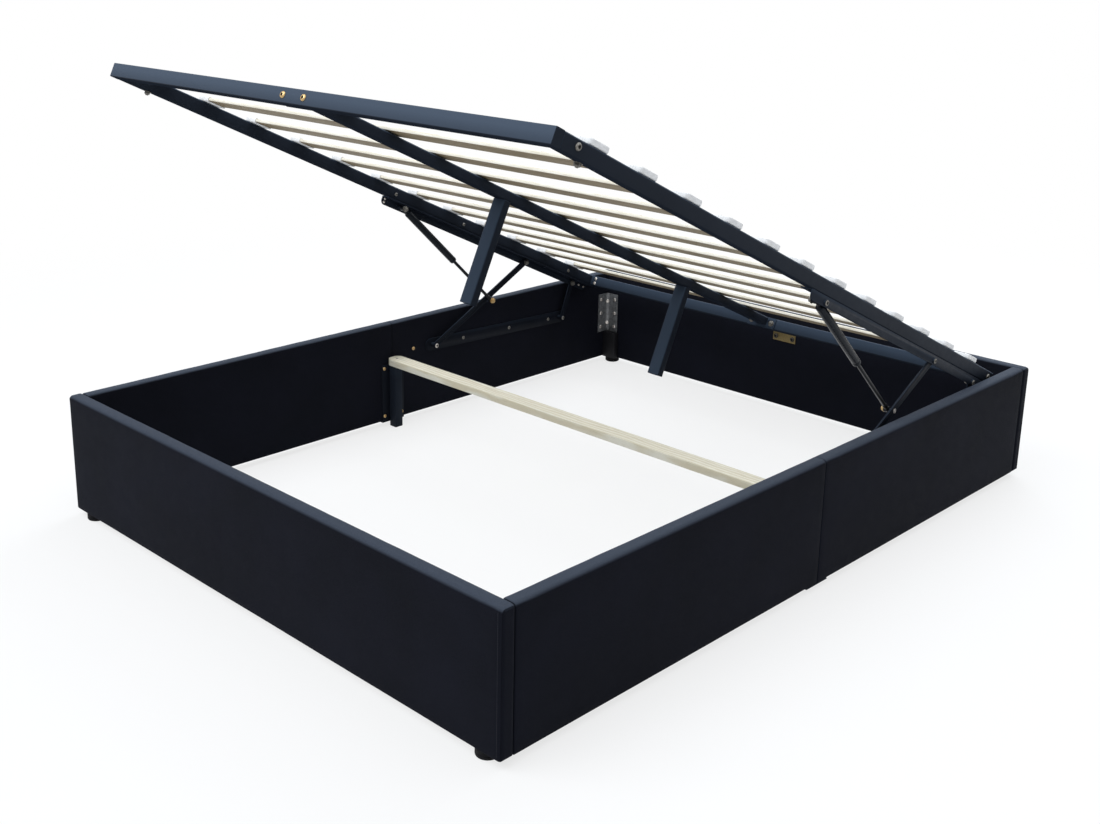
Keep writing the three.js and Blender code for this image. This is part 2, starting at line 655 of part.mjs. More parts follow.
// Upper bar of the mechanism: an angle under the side tube, with the pins of both links and of
// the gas strut
function upperBarGeometry(sign) {
  const top = -TUBE_HEIGHT - CLEARANCE;
  const rear = PLATFORM_LENGTH - BAR_FROM_HEAD;
  const bottom = top - BAR_DEPTH;
  const web = new THREE.Shape();
  web.moveTo(barFront, top);
  web.lineTo(barFront, bottom + BAR_NOSE_RADIUS);
  web.absarc(
    barFront + BAR_NOSE_RADIUS, bottom + BAR_NOSE_RADIUS, BAR_NOSE_RADIUS, Math.PI,
    (3 * Math.PI) / 2, false,
  );
  web.lineTo(rear - BAR_DEPTH / 2, bottom);
  web.lineTo(rear, bottom + BAR_DEPTH / 2);
  web.lineTo(rear, top);
  web.closePath();
  const flangeInner = BAR_OUTER - BAR_FLANGE;
  const flange = boxBetween(
    sign > 0 ? flangeInner : -BAR_OUTER, sign > 0 ? BAR_OUTER : -flangeInner,
    barFront, rear, top - STEEL_PLATE, top,
  );
  const pieces = [flange];
  const inside = BAR_INNER + STEEL_PLATE / 2;
  const proud = BAR_OUTER + PIN_HEAD_HEIGHT;
  for (const { x: y, y: z } of [barFrontPivot, barRearPivot]) {
    pieces.push(barAcross(sign, PIN_TIP, inside, y, z, PIN_RADIUS));
    pieces.push(barAcross(sign, PIN_TIP, PIN_TIP + PIN_HEAD_HEIGHT, y, z, PIN_HEAD_RADIUS));
  }
  const strutTip = STRUT_X - STRUT_EYE_WIDTH / 2 - CLEARANCE;
  pieces.push(
    barAcross(sign, strutTip - PIN_HEAD_HEIGHT, inside, strutPivot.x, strutPivot.y,
      STRUT_PIN_RADIUS),
  );
  pieces.push(
    barAcross(sign, strutTip - PIN_HEAD_HEIGHT, strutTip, strutPivot.x, strutPivot.y,
      STRUT_PIN_RADIUS + PIN_HEAD_HEIGHT / 2),
  );
  for (const { x: y, y: z } of [barFrontPivot, barRearPivot, strutPivot]) {
    pieces.push(barAcross(sign, inside, proud, y, z, PIN_HEAD_RADIUS));
  }
  return joined(plateAcross(sign, BAR_INNER, BAR_OUTER, web), ...pieces);
}

function addPlatform(group) {
  const platform = new THREE.Group();
  platform.position.set(0, openPlatform.x, openPlatform.y);
  platform.rotation.x = -TILT;
  group.add(platform);
  addMesh(platform, "front_bar", frontBarGeometry(), "coated");
  addMesh(platform, "head_crossbar", headCrossbarGeometry(), "coated");
  addMesh(platform, "centre_bar", centreBarGeometry(), "coated");
  for (const [name, y] of Object.entries(FLANGE_PLACES)) {
    const flange = addMesh(platform, `centre_bar_flange_${name}`, endFlangeGeometry(), "coated");
    flange.position.y = y;
  }
  for (const { name, sign } of SIDES) {
    addMesh(platform, `tube_spigot_${name}`, spigotGeometry(sign), "coated");
    addMesh(platform, `side_tube_${name}`, sideTubeGeometry(sign), "coated");
    addMesh(platform, `upper_bar_${name}`, upperBarGeometry(sign), "coated");
  }
  const legPlaces = {
    front: CENTRE_LEG_FROM_FOOT,
    rear: PLATFORM_LENGTH - CENTRE_LEG_FROM_HEAD,
  };
  for (const [name, y] of Object.entries(legPlaces)) {
    const leg = addMesh(platform, `centre_leg_${name}`, centreLegGeometry(), "coated");
    leg.position.set(0, y, -CENTRE_BAR_HEIGHT - CLEARANCE);
  }
  const run = PLATFORM_LENGTH - FIRST_SLAT_FROM_FOOT - LAST_SLAT_FROM_HEAD;
  for (let number = 1; number <= SLAT_COUNT; number += 1) {
    const name = `slat_${String(number).padStart(2, "0")}`;
    const slat = addMesh(platform, name, slatGeometry(), "slat");
    slat.position.y = FIRST_SLAT_FROM_FOOT + (run * (number - 1)) / (SLAT_COUNT - 1);
  }
}

// Base plate on the rail: a long strip with the two fixed pivots on bosses
function basePlateGeometry(sign) {
  const span = baseRearPivot.distanceTo(baseFrontPivot);
  const outline = roundEnded(
    -BASE_PLATE_OVERHANG + BASE_PLATE_HEIGHT / 2,
    span + BASE_PLATE_OVERHANG - BASE_PLATE_HEIGHT / 2,
    BASE_PLATE_HEIGHT / 2,
  );
  const seat = BASE_INNER + STEEL_PLATE / 2;
  const pieces = [0, span].map((y) =>
    barAcross(sign, LINK_OUTER + CLEARANCE, seat, y, 0, BOSS_RADIUS));
  pieces.push(barAcross(sign, PIN_TIP, seat, 0, 0, PIN_RADIUS));
  pieces.push(barAcross(sign, PIN_TIP, PIN_TIP + PIN_HEAD_HEIGHT, 0, 0, PIN_HEAD_RADIUS));
  return joined(plateAcross(sign, BASE_INNER, INNER_X, outline), ...pieces);
}

function frontLinkGeometry(sign, length) {
  const outline = roundEnded(0, length, LINK_WIDTH / 2);
  roundHole(outline, 0, 0, PIN_RADIUS + PIN_CLEARANCE);
  roundHole(outline, length, 0, PIN_RADIUS + PIN_CLEARANCE);
  const stud = barAcross(
    sign, STRUT_X + STRUT_EYE_WIDTH / 2 + CLEARANCE, LINK_INNER + LINK_THICKNESS / 2,
    STRUT_STUD_ALONG_LINK, -STRUT_STUD_OFFSET, STRUT_PIN_RADIUS,
  );
  return joined(plateAcross(sign, LINK_INNER, LINK_OUTER, outline), stud);
}

// Rear link: its lower end carries a rivet head and lies against the base plate's rear boss
function rearLinkGeometry(sign, length) {
  const outline = roundEnded(0, length, LINK_WIDTH / 2);
  roundHole(outline, length, 0, PIN_RADIUS + PIN_CLEARANCE);
  const head = barAcross(
    sign, LINK_INNER - PIN_HEAD_HEIGHT, LINK_INNER + LINK_THICKNESS / 2, 0, 0,
    PIN_HEAD_RADIUS,
  );
  return joined(plateAcross(sign, LINK_INNER, LINK_OUTER, outline), head);
}

function strutTubeGeometry(sign, length) {
  const bore = STRUT_ROD_RADIUS + STRUT_ROD_CLEARANCE;
  const end = length * STRUT_TUBE_SHARE;
  const profile = [
    new THREE.Vector2(0, 0),
    new THREE.Vector2(STRUT_NECK_RADIUS, 0),
    new THREE.Vector2(STRUT_NECK_RADIUS, STRUT_TUBE_START),
    new THREE.Vector2(STRUT_TUBE_RADIUS - STRUT_EDGE, STRUT_TUBE_START),
    new THREE.Vector2(STRUT_TUBE_RADIUS, STRUT_TUBE_START + STRUT_EDGE),
    new THREE.Vector2(STRUT_TUBE_RADIUS, end - STRUT_EDGE),
    new THREE.Vector2(STRUT_TUBE_RADIUS - STRUT_EDGE, end),
    new THREE.Vector2(bore, end),
    new THREE.Vector2(bore, STRUT_BORE_START),
    new THREE.Vector2(0, STRUT_BORE_START),
  ];
  const body = new THREE.LatheGeometry(profile, ROUND_STEPS);
  body.translate(sign * STRUT_X, 0, 0);
  const halfEye = STRUT_EYE_WIDTH / 2;
  const eye = barAcross(sign, STRUT_X - halfEye, STRUT_X + halfEye, 0, 0, STRUT_EYE_RADIUS);
  const hole = barAcross(
    sign, STRUT_X - halfEye - OVERRUN, STRUT_X + halfEye + OVERRUN, 0, 0,
    STRUT_PIN_RADIUS + PIN_CLEARANCE,
  );
  return cut(joined(body, eye), hole);
}

function strutRodGeometry(sign, length) {
  const start = length * STRUT_TUBE_SHARE - STRUT_ROD_GRIP;
  const rod = new THREE.CylinderGeometry(
    STRUT_ROD_RADIUS, STRUT_ROD_RADIUS, length - start, ROUND_STEPS,
  );
  rod.translate(sign * STRUT_X, (length + start) / 2, 0);
  const halfEye = STRUT_EYE_WIDTH / 2;
  const eye = barAcross(
    sign, STRUT_X - halfEye, STRUT_X + halfEye, length, 0, STRUT_EYE_RADIUS,
  );
  return joined(rod, eye);
}

// Puts a group at a pivot, with its own +Y along the line to another point.
function aimedGroup(parent, from, to) {
  const group = new THREE.Group();
  group.position.set(0, from.x, from.y);
  group.rotation.x = Math.atan2(to.y - from.y, to.x - from.x);
  parent.add(group);
  return group;
}

function addMechanism(group) {
  const frontTop = onOpenPlatform(barFrontPivot);
  const rearTop = onOpenPlatform(barRearPivot);
  const frontLength = frontTop.distanceTo(baseFrontPivot);
  const rearLength = rearTop.distanceTo(baseRearPivot);
  const strutTop = onOpenPlatform(strutPivot);
  const linkAngle = Math.atan2(frontTop.y - baseFrontPivot.y, frontTop.x - baseFrontPivot.x);
  const stud = point(STRUT_STUD_ALONG_LINK, -STRUT_STUD_OFFSET)
    .rotateAround(point(0, 0), linkAngle)
    .add(baseFrontPivot);
  const strutLength = stud.distanceTo(strutTop);
  const base = aimedGroup(group, baseFrontPivot, baseRearPivot);
  const front = aimedGroup(group, baseFrontPivot, frontTop);
  const rear = aimedGroup(group, baseRearPivot, rearTop);
  const strut = aimedGroup(group, strutTop, stud);
  for (const { name, sign } of SIDES) {
    addMesh(base, `base_plate_${name}`, basePlateGeometry(sign), "coated");
    addMesh(front, `front_link_${name}`, frontLinkGeometry(sign, frontLength), "coated");
    addMesh(rear, `rear_link_${name}`, rearLinkGeometry(sign, rearLength), "coated");
    addMesh(strut, `strut_tube_${name}`, strutTubeGeometry(sign, strutLength), "strut");
    addMesh(strut, `strut_rod_${name}`, strutRodGeometry(sign, strutLength), "rod");
  }
}

const bed = new THREE.Group();
addPanels(bed);
addCorners(bed);
addMiddle(bed);
addPlatform(bed);
addMechanism(bed);

export default bed;
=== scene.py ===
"""Ottoman bed, shown open: the upholstery, slats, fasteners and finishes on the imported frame."""
import bmesh
import bpy
import json
import math
from mathutils import Matrix, Vector, noise


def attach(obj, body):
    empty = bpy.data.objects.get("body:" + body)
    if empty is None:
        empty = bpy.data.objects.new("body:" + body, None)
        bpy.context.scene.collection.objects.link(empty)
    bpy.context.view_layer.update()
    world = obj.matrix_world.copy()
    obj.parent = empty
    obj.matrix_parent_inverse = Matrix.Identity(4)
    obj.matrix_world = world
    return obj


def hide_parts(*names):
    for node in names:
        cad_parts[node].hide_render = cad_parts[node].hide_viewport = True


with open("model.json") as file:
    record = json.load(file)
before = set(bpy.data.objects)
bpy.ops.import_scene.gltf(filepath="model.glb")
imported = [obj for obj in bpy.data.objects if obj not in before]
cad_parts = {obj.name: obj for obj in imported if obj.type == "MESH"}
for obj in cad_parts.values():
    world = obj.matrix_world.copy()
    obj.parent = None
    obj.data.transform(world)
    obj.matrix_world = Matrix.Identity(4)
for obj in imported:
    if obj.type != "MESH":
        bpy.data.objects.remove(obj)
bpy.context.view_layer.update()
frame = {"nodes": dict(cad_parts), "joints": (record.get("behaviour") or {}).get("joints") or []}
NODES = frame["nodes"]
# Hinge places in the side view, (y, z)
PIVOTS = {joint["name"]: Vector(joint["pos_m"][1:]) for joint in frame["joints"]
          if joint["type"] == "hinge"}
BASE_PIVOT = PIVOTS["front_link_left_pivot"]

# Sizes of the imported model, in metres
HALF_WIDTH = 0.796
HALF_LENGTH = 1.046
THICK = 0.037  # of the upholstered panels
INNER_X = HALF_WIDTH - THICK
INNER_Y = HALF_LENGTH - THICK
FOOT = 0.018  # height of the round feet
HEIGHT = 0.311  # of the panels
PLATFORM_X = 0.748  # outer faces of the side tubes
TUBE = 0.035
PLATE = 0.003
STRUT_X = 0.722
LINK_X = 0.744  # outer faces of the links
PIN_X = 0.7357  # inner ends of the pins
SIDES = (("left", -1), ("right", 1))
ENDS = (("foot", -1), ("head", 1))

# The platform's own axes: x across, y from the foot end along it, z 0 at the tubes' tops
FOOT_END_TOP = (0, -0.880136, 1.165114)
OPEN_ANGLE = 25
PLATFORM = Matrix.Translation(FOOT_END_TOP) @ Matrix.Rotation(math.radians(-OPEN_ANGLE), 4, "X")


# ---------------------------------------------------------------- camera, light and stage

# The camera as solved from the frame's corners: degrees, metres, and pixels of the photograph
AZIMUTH, ELEVATION, ROLL = 44.5, 15.5, 0.9
CAMERA_PLACE = (2.3254, -2.5570, 1.4661)
PHOTO_WIDTH, PHOTO_HEIGHT = 1100, 824
FOCAL_PX = 1346.9
CENTRE_PX = (524.4, 315.4)
SENSOR = 36

LAMP_COLOR = (0.9, 0.95, 1)
LAMPS = (  # name, place, target, size, power
    ("top", (1.1, 0.3, 5.2), (0.3, 0.1, 0), (6, 6), 170),
    ("key", (-1.6, -4.8, 5.4), (0, -0.4, 0.5), (6, 4), 330),
    ("back", (-1.2, 4.8, 4.2), (0.2, 0.5, 0.3), (5, 3), 230))
WORLD_COLOR = (0.93, 0.96, 1, 1)
WORLD_STRENGTH = 0.36
FLOOR_COLOR = (0.82, 0.82, 0.82, 1)
FLOOR_REACH = 120
# The floor goes from 0.74 white by the bed to all white, between 1.4 and 4 m from its middle
FLOOR_FADE = {"From Min": 1.4, "From Max": 4.0, "To Min": 0.74, "To Max": 1.0}


def make_camera():
    az, el, roll = (math.radians(v) for v in (AZIMUTH, ELEVATION, ROLL))
    back = Vector((math.sin(az) * math.cos(el), -math.cos(az) * math.cos(el), math.sin(el)))
    right = Vector((math.cos(az), math.sin(az), 0))
    up = back.cross(right)
    rolled_right = right * math.cos(roll) + up * math.sin(roll)
    rolled_up = up * math.cos(roll) - right * math.sin(roll)
    data = bpy.data.cameras.new("camera")
    data.sensor_width = SENSOR
    data.lens = FOCAL_PX / PHOTO_WIDTH * SENSOR
    data.shift_x = (PHOTO_WIDTH / 2 - CENTRE_PX[0]) / PHOTO_WIDTH
    data.shift_y = (CENTRE_PX[1] - PHOTO_HEIGHT / 2) / PHOTO_WIDTH
    data.clip_start, data.clip_end = 0.05, 60
    cam = bpy.data.objects.new("camera", data)
    turn = Matrix((rolled_right, rolled_up, back)).transposed().to_4x4()
    cam.matrix_world = Matrix.Translation(CAMERA_PLACE) @ turn
    bpy.context.collection.objects.link(cam)
    bpy.context.scene.camera = cam


def seen_white(tree, dim, white):
    """The white shader for camera, glossy and transmission rays, and the dim one for the rest."""
    path = tree.nodes.new("ShaderNodeLightPath")
    seen = path.outputs["Is Camera Ray"]
    for ray in ("Is Glossy Ray", "Is Transmission Ray"):
        either = tree.nodes.new("ShaderNodeMath")
        either.operation = "MAXIMUM"
        tree.links.new(seen, either.inputs[0])
        tree.links.new(path.outputs[ray], either.inputs[1])
        seen = either.outputs[0]
    mix = tree.nodes.new("ShaderNodeMixShader")
    tree.links.new(seen, mix.inputs[0])
    tree.links.new(dim, mix.inputs[1])
    tree.links.new(white, mix.inputs[2])
    return mix.outputs[0]


def make_world():
    world = bpy.data.worlds.new("studio")
    bpy.context.scene.world = world
    world.use_nodes = True
    tree = world.node_tree
    dim = tree.nodes["Background"]
    dim.inputs["Color"].default_value = WORLD_COLOR
    dim.inputs["Strength"].default_value = WORLD_STRENGTH
    white = tree.nodes.new("ShaderNodeBackground")
    white.inputs["Color"].default_value = (1, 1, 1, 1)
    out = tree.nodes["World Output"]
    tree.links.new(seen_white(tree, dim.outputs[0], white.outputs[0]), out.inputs["Surface"])


def make_lamp(name, place, target, size, power):
    data = bpy.data.lights.new(name, "AREA")
    data.shape = "RECTANGLE"
    data.size, data.size_y = size
    data.energy = power
    data.color = LAMP_COLOR
    lamp = bpy.data.objects.new(name, data)
    turn = (Vector(target) - Vector(place)).to_track_quat("-Z", "Y").to_matrix().to_4x4()
    lamp.matrix_world = Matrix.Translation(place) @ turn
    lamp.visible_camera = False
    bpy.context.collection.objects.link(lamp)


def make_floor():
    mat = bpy.data.materials.new("floor")
    mat.use_nodes = True
    tree = mat.node_tree
    tree.nodes.remove(tree.nodes["Principled BSDF"])
    matt = tree.nodes.new("ShaderNodeBsdfDiffuse")
    matt.inputs["Color"].default_value = FLOOR_COLOR
    glow = tree.nodes.new("ShaderNodeEmission")
    glow.inputs["Color"].default_value = (1, 1, 1, 1)
    coords = tree.nodes.new("ShaderNodeTexCoord")
    away = tree.nodes.new("ShaderNodeVectorMath")
    away.operation = "LENGTH"
    tree.links.new(coords.outputs["Object"], away.inputs[0])
    share = tree.nodes.new("ShaderNodeMapRange")
    share.interpolation_type = "SMOOTHSTEP"
    for name, value in FLOOR_FADE.items():
        share.inputs[name].default_value = value
    tree.links.new(away.outputs["Value"], share.inputs["Value"])
    faded = tree.nodes.new("ShaderNodeMixShader")
    tree.links.new(share.outputs["Result"], faded.inputs[0])
    tree.links.new(matt.outputs[0], faded.inputs[1])
    tree.links.new(glow.outputs[0], faded.inputs[2])
    shown = seen_white(tree, matt.outputs[0], faded.outputs[0])
    tree.links.new(shown, tree.nodes["Material Output"].inputs["Surface"])
    mesh = bpy.data.meshes.new("floor")
    signs = ((-1, -1), (1, -1), (1, 1), (-1, 1))
    mesh.from_pydata([(x * FLOOR_REACH, y * FLOOR_REACH, 0) for x, y in signs], [], [(0, 1, 2, 3)])
    mesh.materials.append(mat)
    floor = bpy.data.objects.new("floor", mesh)
    bpy.context.collection.objects.link(floor)


# ---------------------------------------------------------------- materials

def srgb(r, g, b):
    def one(v):
        v /= 255
        return v / 12.92 if v <= 0.04045 else ((v + 0.055) / 1.055) ** 2.4
    return (one(r), one(g), one(b), 1)


WHITE = srgb(255, 255, 255)


class Finish:
    """A Principled material and short calls that add nodes to it."""

    def __init__(self, name, roughness, metallic=0.0, specular=0.5, tint=(1, 1, 1)):
        self.mat = bpy.data.materials.new(name)
        self.mat.use_nodes = True
        self.tree = self.mat.node_tree
        self.shader = self.tree.nodes["Principled BSDF"]
        self.shader.inputs["Roughness"].default_value = roughness
        self.shader.inputs["Metallic"].default_value = metallic
        self.shader.inputs["Specular IOR Level"].default_value = specular
        self.shader.inputs["Specular Tint"].default_value = (*tint, 1)
        coords = self.tree.nodes.new("ShaderNodeTexCoord")
        self.coords = coords.outputs["Object"]

    def sheen(self, weight, roughness, tint):
        self.shader.inputs["Sheen Weight"].default_value = weight
        self.shader.inputs["Sheen Roughness"].default_value = roughness
        self.shader.inputs["Sheen Tint"].default_value = (*tint, 1)

    def stretched(self, scale):
        node = self.tree.nodes.new("ShaderNodeMapping")
        node.inputs["Scale"].default_value = scale
        self.tree.links.new(self.coords, node.inputs["Vector"])
        return node.outputs[0]

    def noise(self, scale, detail=3.0, rough=0.55, distortion=0.0, vector=None):
        node = self.tree.nodes.new("ShaderNodeTexNoise")
        node.inputs["Scale"].default_value = scale
        node.inputs["Detail"].default_value = detail
        node.inputs["Roughness"].default_value = rough
        node.inputs["Distortion"].default_value = distortion
        self.tree.links.new(vector or self.coords, node.inputs["Vector"])
        return node.outputs["Fac"]

    def cells(self, scale):
        node = self.tree.nodes.new("ShaderNodeTexVoronoi")
        node.feature = "DISTANCE_TO_EDGE"
        node.inputs["Scale"].default_value = scale
        self.tree.links.new(self.coords, node.inputs["Vector"])
        return node.outputs["Distance"]

    def ramp(self, source, stops):
        node = self.tree.nodes.new("ShaderNodeValToRGB")
        ramp = node.color_ramp
        while len(ramp.elements) < len(stops):
            ramp.elements.new(0.5)
        for element, (place, color) in zip(ramp.elements, stops):
            element.position = place
            element.color = color
        self.tree.links.new(source, node.inputs["Fac"])
        return node.outputs["Color"]

    def spread(self, source, low, high, start=0.3, end=0.7):
        node = self.tree.nodes.new("ShaderNodeMapRange")
        values = (start, end, low, high)
        for name, value in zip(("From Min", "From Max", "To Min", "To Max"), values):
            node.inputs[name].default_value = value
        self.tree.links.new(source, node.inputs["Value"])
        return node.outputs["Result"]

    def math(self, operation, a, b):
        node = self.tree.nodes.new("ShaderNodeMath")
        node.operation = operation
        for socket, value in zip(node.inputs, (a, b)):
            if isinstance(value, (int, float)):
                socket.default_value = value
            else:
                self.tree.links.new(value, socket)
        return node.outputs[0]

    def upward(self, start, end):
        """0 to 1 as the world normal's Z goes from start to end."""
        where = self.tree.nodes.new("ShaderNodeNewGeometry")
        split = self.tree.nodes.new("ShaderNodeSeparateXYZ")
        self.tree.links.new(where.outputs["Normal"], split.inputs[0])
        return self.spread(split.outputs[2], 0, 1, start, end)

    def axis(self, index):
        node = self.tree.nodes.new("ShaderNodeSeparateXYZ")
        self.tree.links.new(self.coords, node.inputs[0])
        return node.outputs[index]

    def blend(self, factor, a, b, mode="MIX"):
        node = self.tree.nodes.new("ShaderNodeMix")
        node.data_type = "RGBA"
        node.blend_type = mode
        sockets = (node.inputs[0], node.inputs[6], node.inputs[7])
        for socket, value in zip(sockets, (factor, a, b)):
            if isinstance(value, (int, float, tuple)):
                socket.default_value = value
            else:
                self.tree.links.new(value, socket)
        return node.outputs[2]

    def color(self, source):
        self.tree.links.new(source, self.shader.inputs["Base Color"])

    def rough(self, source):
        self.tree.links.new(source, self.shader.inputs["Roughness"])

    def bump(self, *layers):
        """Each layer is (height, depth in metres); they are chained."""
        normal = None
        for height, depth in layers:
            node = self.tree.nodes.new("ShaderNodeBump")
            node.inputs["Strength"].default_value = 1
            node.inputs["Distance"].default_value = depth
            self.tree.links.new(height, node.inputs["Height"])
            if normal is not None:
                self.tree.links.new(normal, node.inputs["Normal"])
            normal = node.outputs[0]
        self.tree.links.new(normal, self.shader.inputs["Normal"])


def leather():
    look = Finish("faux_leather", 0.48, specular=0.012, tint=(0.6, 0.82, 1))
    look.sheen(0.02, 0.3, (0.7, 0.85, 1))
    grain = look.cells(620)
    pores = look.noise(1500, detail=2)
    cloudy = look.noise(5, detail=2)
    base = look.ramp(cloudy, [(0.3, srgb(24, 25, 31)), (0.7, srgb(27, 28, 36))])
    # Faces turned up are painted paler and bluer: a painted highlight of the light from above on
    # the top edges.
    base = look.blend(look.upward(0.3, 0.8), base, srgb(66, 72, 83))
    cracks = look.spread(grain, 0.75, 1.0, start=0.0, end=0.12)
    shade = look.ramp(cracks, [(0.7, srgb(190, 190, 192)), (1, WHITE)])
    look.color(look.blend(1.0, base, shade, "MULTIPLY"))
    look.rough(look.spread(look.noise(40, detail=4), 0.46, 0.53))
    look.bump((look.noise(26, detail=2), 0.0001), (grain, 0.0003), (pores, 0.0001))
    return look.mat


def thread():
    look = Finish("thread", 0.6, specular=0.2)
    twist = look.noise(1800, detail=1)
    look.color(look.ramp(twist, [(0.35, srgb(28, 30, 36)), (0.65, srgb(44, 46, 54))]))
    look.bump((twist, 0.0001))
    return look.mat


def powder_coat(name, dark, pale, painted_top_light, specular):
    """Satin coat: its colour is painted paler where it faces up, a painted highlight of the light
    from above, and it has no gloss on its undersides.
    """
    look = Finish(name, 0.4, specular=specular, tint=(0.6, 0.8, 1))
    cloudy = look.noise(4, detail=2)
    base = look.ramp(cloudy, [(0.3, srgb(*dark)), (0.7, srgb(*pale))])
    # Faces turned up take the paler tone: painted light from above.
    look.color(look.blend(look.upward(0.1, 0.45), base, srgb(*painted_top_light)))
    gloss = look.math("MULTIPLY", look.upward(-0.7, -0.2), specular)
    look.tree.links.new(gloss, look.shader.inputs["Specular IOR Level"])
    look.rough(look.spread(look.noise(60, detail=3), 0.36, 0.48))
    look.bump((look.noise(900, detail=2), 0.00007), (look.noise(230, detail=1), 0.00006))
    return look.mat


def metal(name, low, high, roughness):
    look = Finish(name, roughness, metallic=0.9)
    mottle = look.noise(320, detail=4)
    look.color(look.ramp(mottle, [(0.35, srgb(*low)), (0.65, srgb(*high))]))
    look.rough(look.spread(look.noise(500, detail=2), roughness - 0.07, roughness + 0.1))
    look.bump((look.noise(1200, detail=2), 0.00004))
    return look.mat


def bracket_steel():
    look = Finish("bracket_steel", 0.45, metallic=0.55)
    flakes = look.noise(110, detail=1, distortion=1.2)
    look.color(look.ramp(flakes, [(0.35, srgb(98, 99, 101)), (0.65, srgb(128, 129, 131))]))
    look.rough(look.spread(flakes, 0.38, 0.55))
    look.bump((look.noise(700, detail=3), 0.00005))
    return look.mat


def plastic(name, low, high, roughness, specular=0.35, tint=(1, 1, 1)):
    look = Finish(name, roughness, specular=specular, tint=tint)
    cloudy = look.noise(60, detail=3)
    look.color(look.ramp(cloudy, [(0.3, srgb(*low)), (0.7, srgb(*high))]))
    look.rough(look.spread(look.noise(240, detail=2), roughness - 0.06, roughness + 0.08))
    look.bump((look.noise(1100, detail=2), 0.00005))
    return look.mat


PLY = 0.0013


def slat_wood(name, dark, middle, pale):
    """Veneer streaked along X, with the layers of the laminate showing on the edges."""
    look = Finish(name, 0.55, specular=0.25)
    long = look.stretched((2.2, 60, 60))
    streaks = look.noise(3, detail=5, rough=0.6, distortion=0.4, vector=long)
    fine = look.noise(9, detail=3, vector=look.stretched((3, 120, 120)))
    base = look.ramp(streaks, [(0.3, srgb(*dark)), (0.52, srgb(*middle)), (0.72, srgb(*pale))])
    flecks = look.ramp(fine, [(0.34, srgb(222, 212, 194)), (0.46, WHITE)])
    wood = look.blend(0.7, base, flecks, "MULTIPLY")
    height = look.math("MULTIPLY", look.axis(2), 1 / PLY)
    layer = look.math("FRACT", look.math("ADD", height, look.spread(streaks, -0.12, 0.12)), 0)
    glue = look.ramp(layer, [(0.0, srgb(186, 168, 140)), (0.1, srgb(230, 220, 202)),
                             (0.2, WHITE), (0.9, WHITE)])
    look.color(look.blend(0.55, wood, glue, "MULTIPLY"))
    look.rough(look.spread(streaks, 0.5, 0.64))
    look.bump((streaks, 0.0002), (fine, 0.00012))
    return look.mat


def pine():
    look = Finish("pine", 0.6, specular=0.25)
    rings = look.tree.nodes.new("ShaderNodeTexWave")
    rings.wave_type = "BANDS"
    rings.bands_direction = "Y"
    rings.inputs["Scale"].default_value = 26
    rings.inputs["Distortion"].default_value = 9
    rings.inputs["Detail"].default_value = 4
    rings.inputs["Detail Scale"].default_value = 0.8
    look.tree.links.new(look.stretched((0.2, 1, 1)), rings.inputs["Vector"])
    grain = look.ramp(rings.outputs["Fac"], [
        (0.05, srgb(214, 204, 179)), (0.5, srgb(222, 215, 195)), (0.95, srgb(229, 224, 208))])
    pores = look.noise(8, detail=4, vector=look.stretched((4, 150, 150)))
    specks = look.ramp(pores, [(0.3, srgb(212, 202, 182)), (0.42, WHITE)])
    look.color(look.blend(0.7, grain, specks, "MULTIPLY"))
    look.rough(look.spread(pores, 0.54, 0.7))
    look.bump((rings.outputs["Fac"], 0.00003), (pores, 0.00012))
    return look.mat


# ---------------------------------------------------------------- mesh tools

def piece(name, shape, mat, body, matrix=None, sharp=35):
    """A smooth-shaded mesh object from (verts, faces), riding on a body."""
    verts, faces = shape
    mesh = bpy.data.meshes.new(name)
    mesh.from_pydata([tuple(v) for v in verts], [], faces)
    work = bmesh.new()
    work.from_mesh(mesh)
    bmesh.ops.remove_doubles(work, verts=work.verts, dist=1e-6)
    bmesh.ops.recalc_face_normals(work, faces=work.faces)
    work.to_mesh(mesh)
    work.free()
    mesh.shade_smooth()
    mesh.set_sharp_from_angle(angle=math.radians(sharp))
    mesh.materials.append(mat)
    thing = bpy.data.objects.new(name, mesh)
    bpy.context.collection.objects.link(thing)
    if matrix is not None:
        thing.matrix_world = matrix
    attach(thing, body)
    return thing


class Cluster:
    """Verts and faces of several small shapes that make one piece."""

    def __init__(self):
        self.verts, self.faces = [], []

    def add(self, shape, matrix):
        start = len(self.verts)
        verts, faces = shape
        self.verts += [matrix @ Vector(v) for v in verts]
        self.faces += [tuple(start + i for i in face) for face in faces]

    def make(self, name, mat, body, slot, matrix=None):
        return piece(name, (self.verts, self.faces), mat, body, matrix)


def skin(rings, closed_start=True, closed_end=True):
    """Joins equal closed rings of points, and closes the ends."""
    count = len(rings[0])
    verts = [p for ring in rings for p in ring]
    faces = []
    for r in range(len(rings) - 1):
        for i in range(count):
            j = (i + 1) % count
            faces.append((r * count + i, r * count + j, (r + 1) * count + j, (r + 1) * count + i))
    if closed_start:
        faces.append(tuple(range(count)))
    if closed_end:
        faces.append(tuple((len(rings) - 1) * count + i for i in range(count)))
    return verts, faces


def turned(profile, steps=24):
    """Rings (radius, height) about +Z; a third value of 1 makes the ring a hexagon."""
    rings = []
    for radius, height, *hexness in profile:
        share = hexness[0] if hexness else 0
        ring = []
        for i in range(steps):
            turn = 2 * math.pi * i / steps
            off = (turn + math.pi / 6) % (math.pi / 3) - math.pi / 6
            flat = radius / math.cos(off)
            r = radius + (flat - radius) * share
            ring.append((r * math.cos(turn), r * math.sin(turn), height))
        rings.append(ring)
    return skin(rings)


def facing(place, direction, spin=0.0):
    """A matrix whose +Z points along direction."""
    turn = Vector(direction).to_track_quat("Z", "Y").to_matrix().to_4x4()
    return Matrix.Translation(place) @ turn @ Matrix.Rotation(spin, 4, "Z")


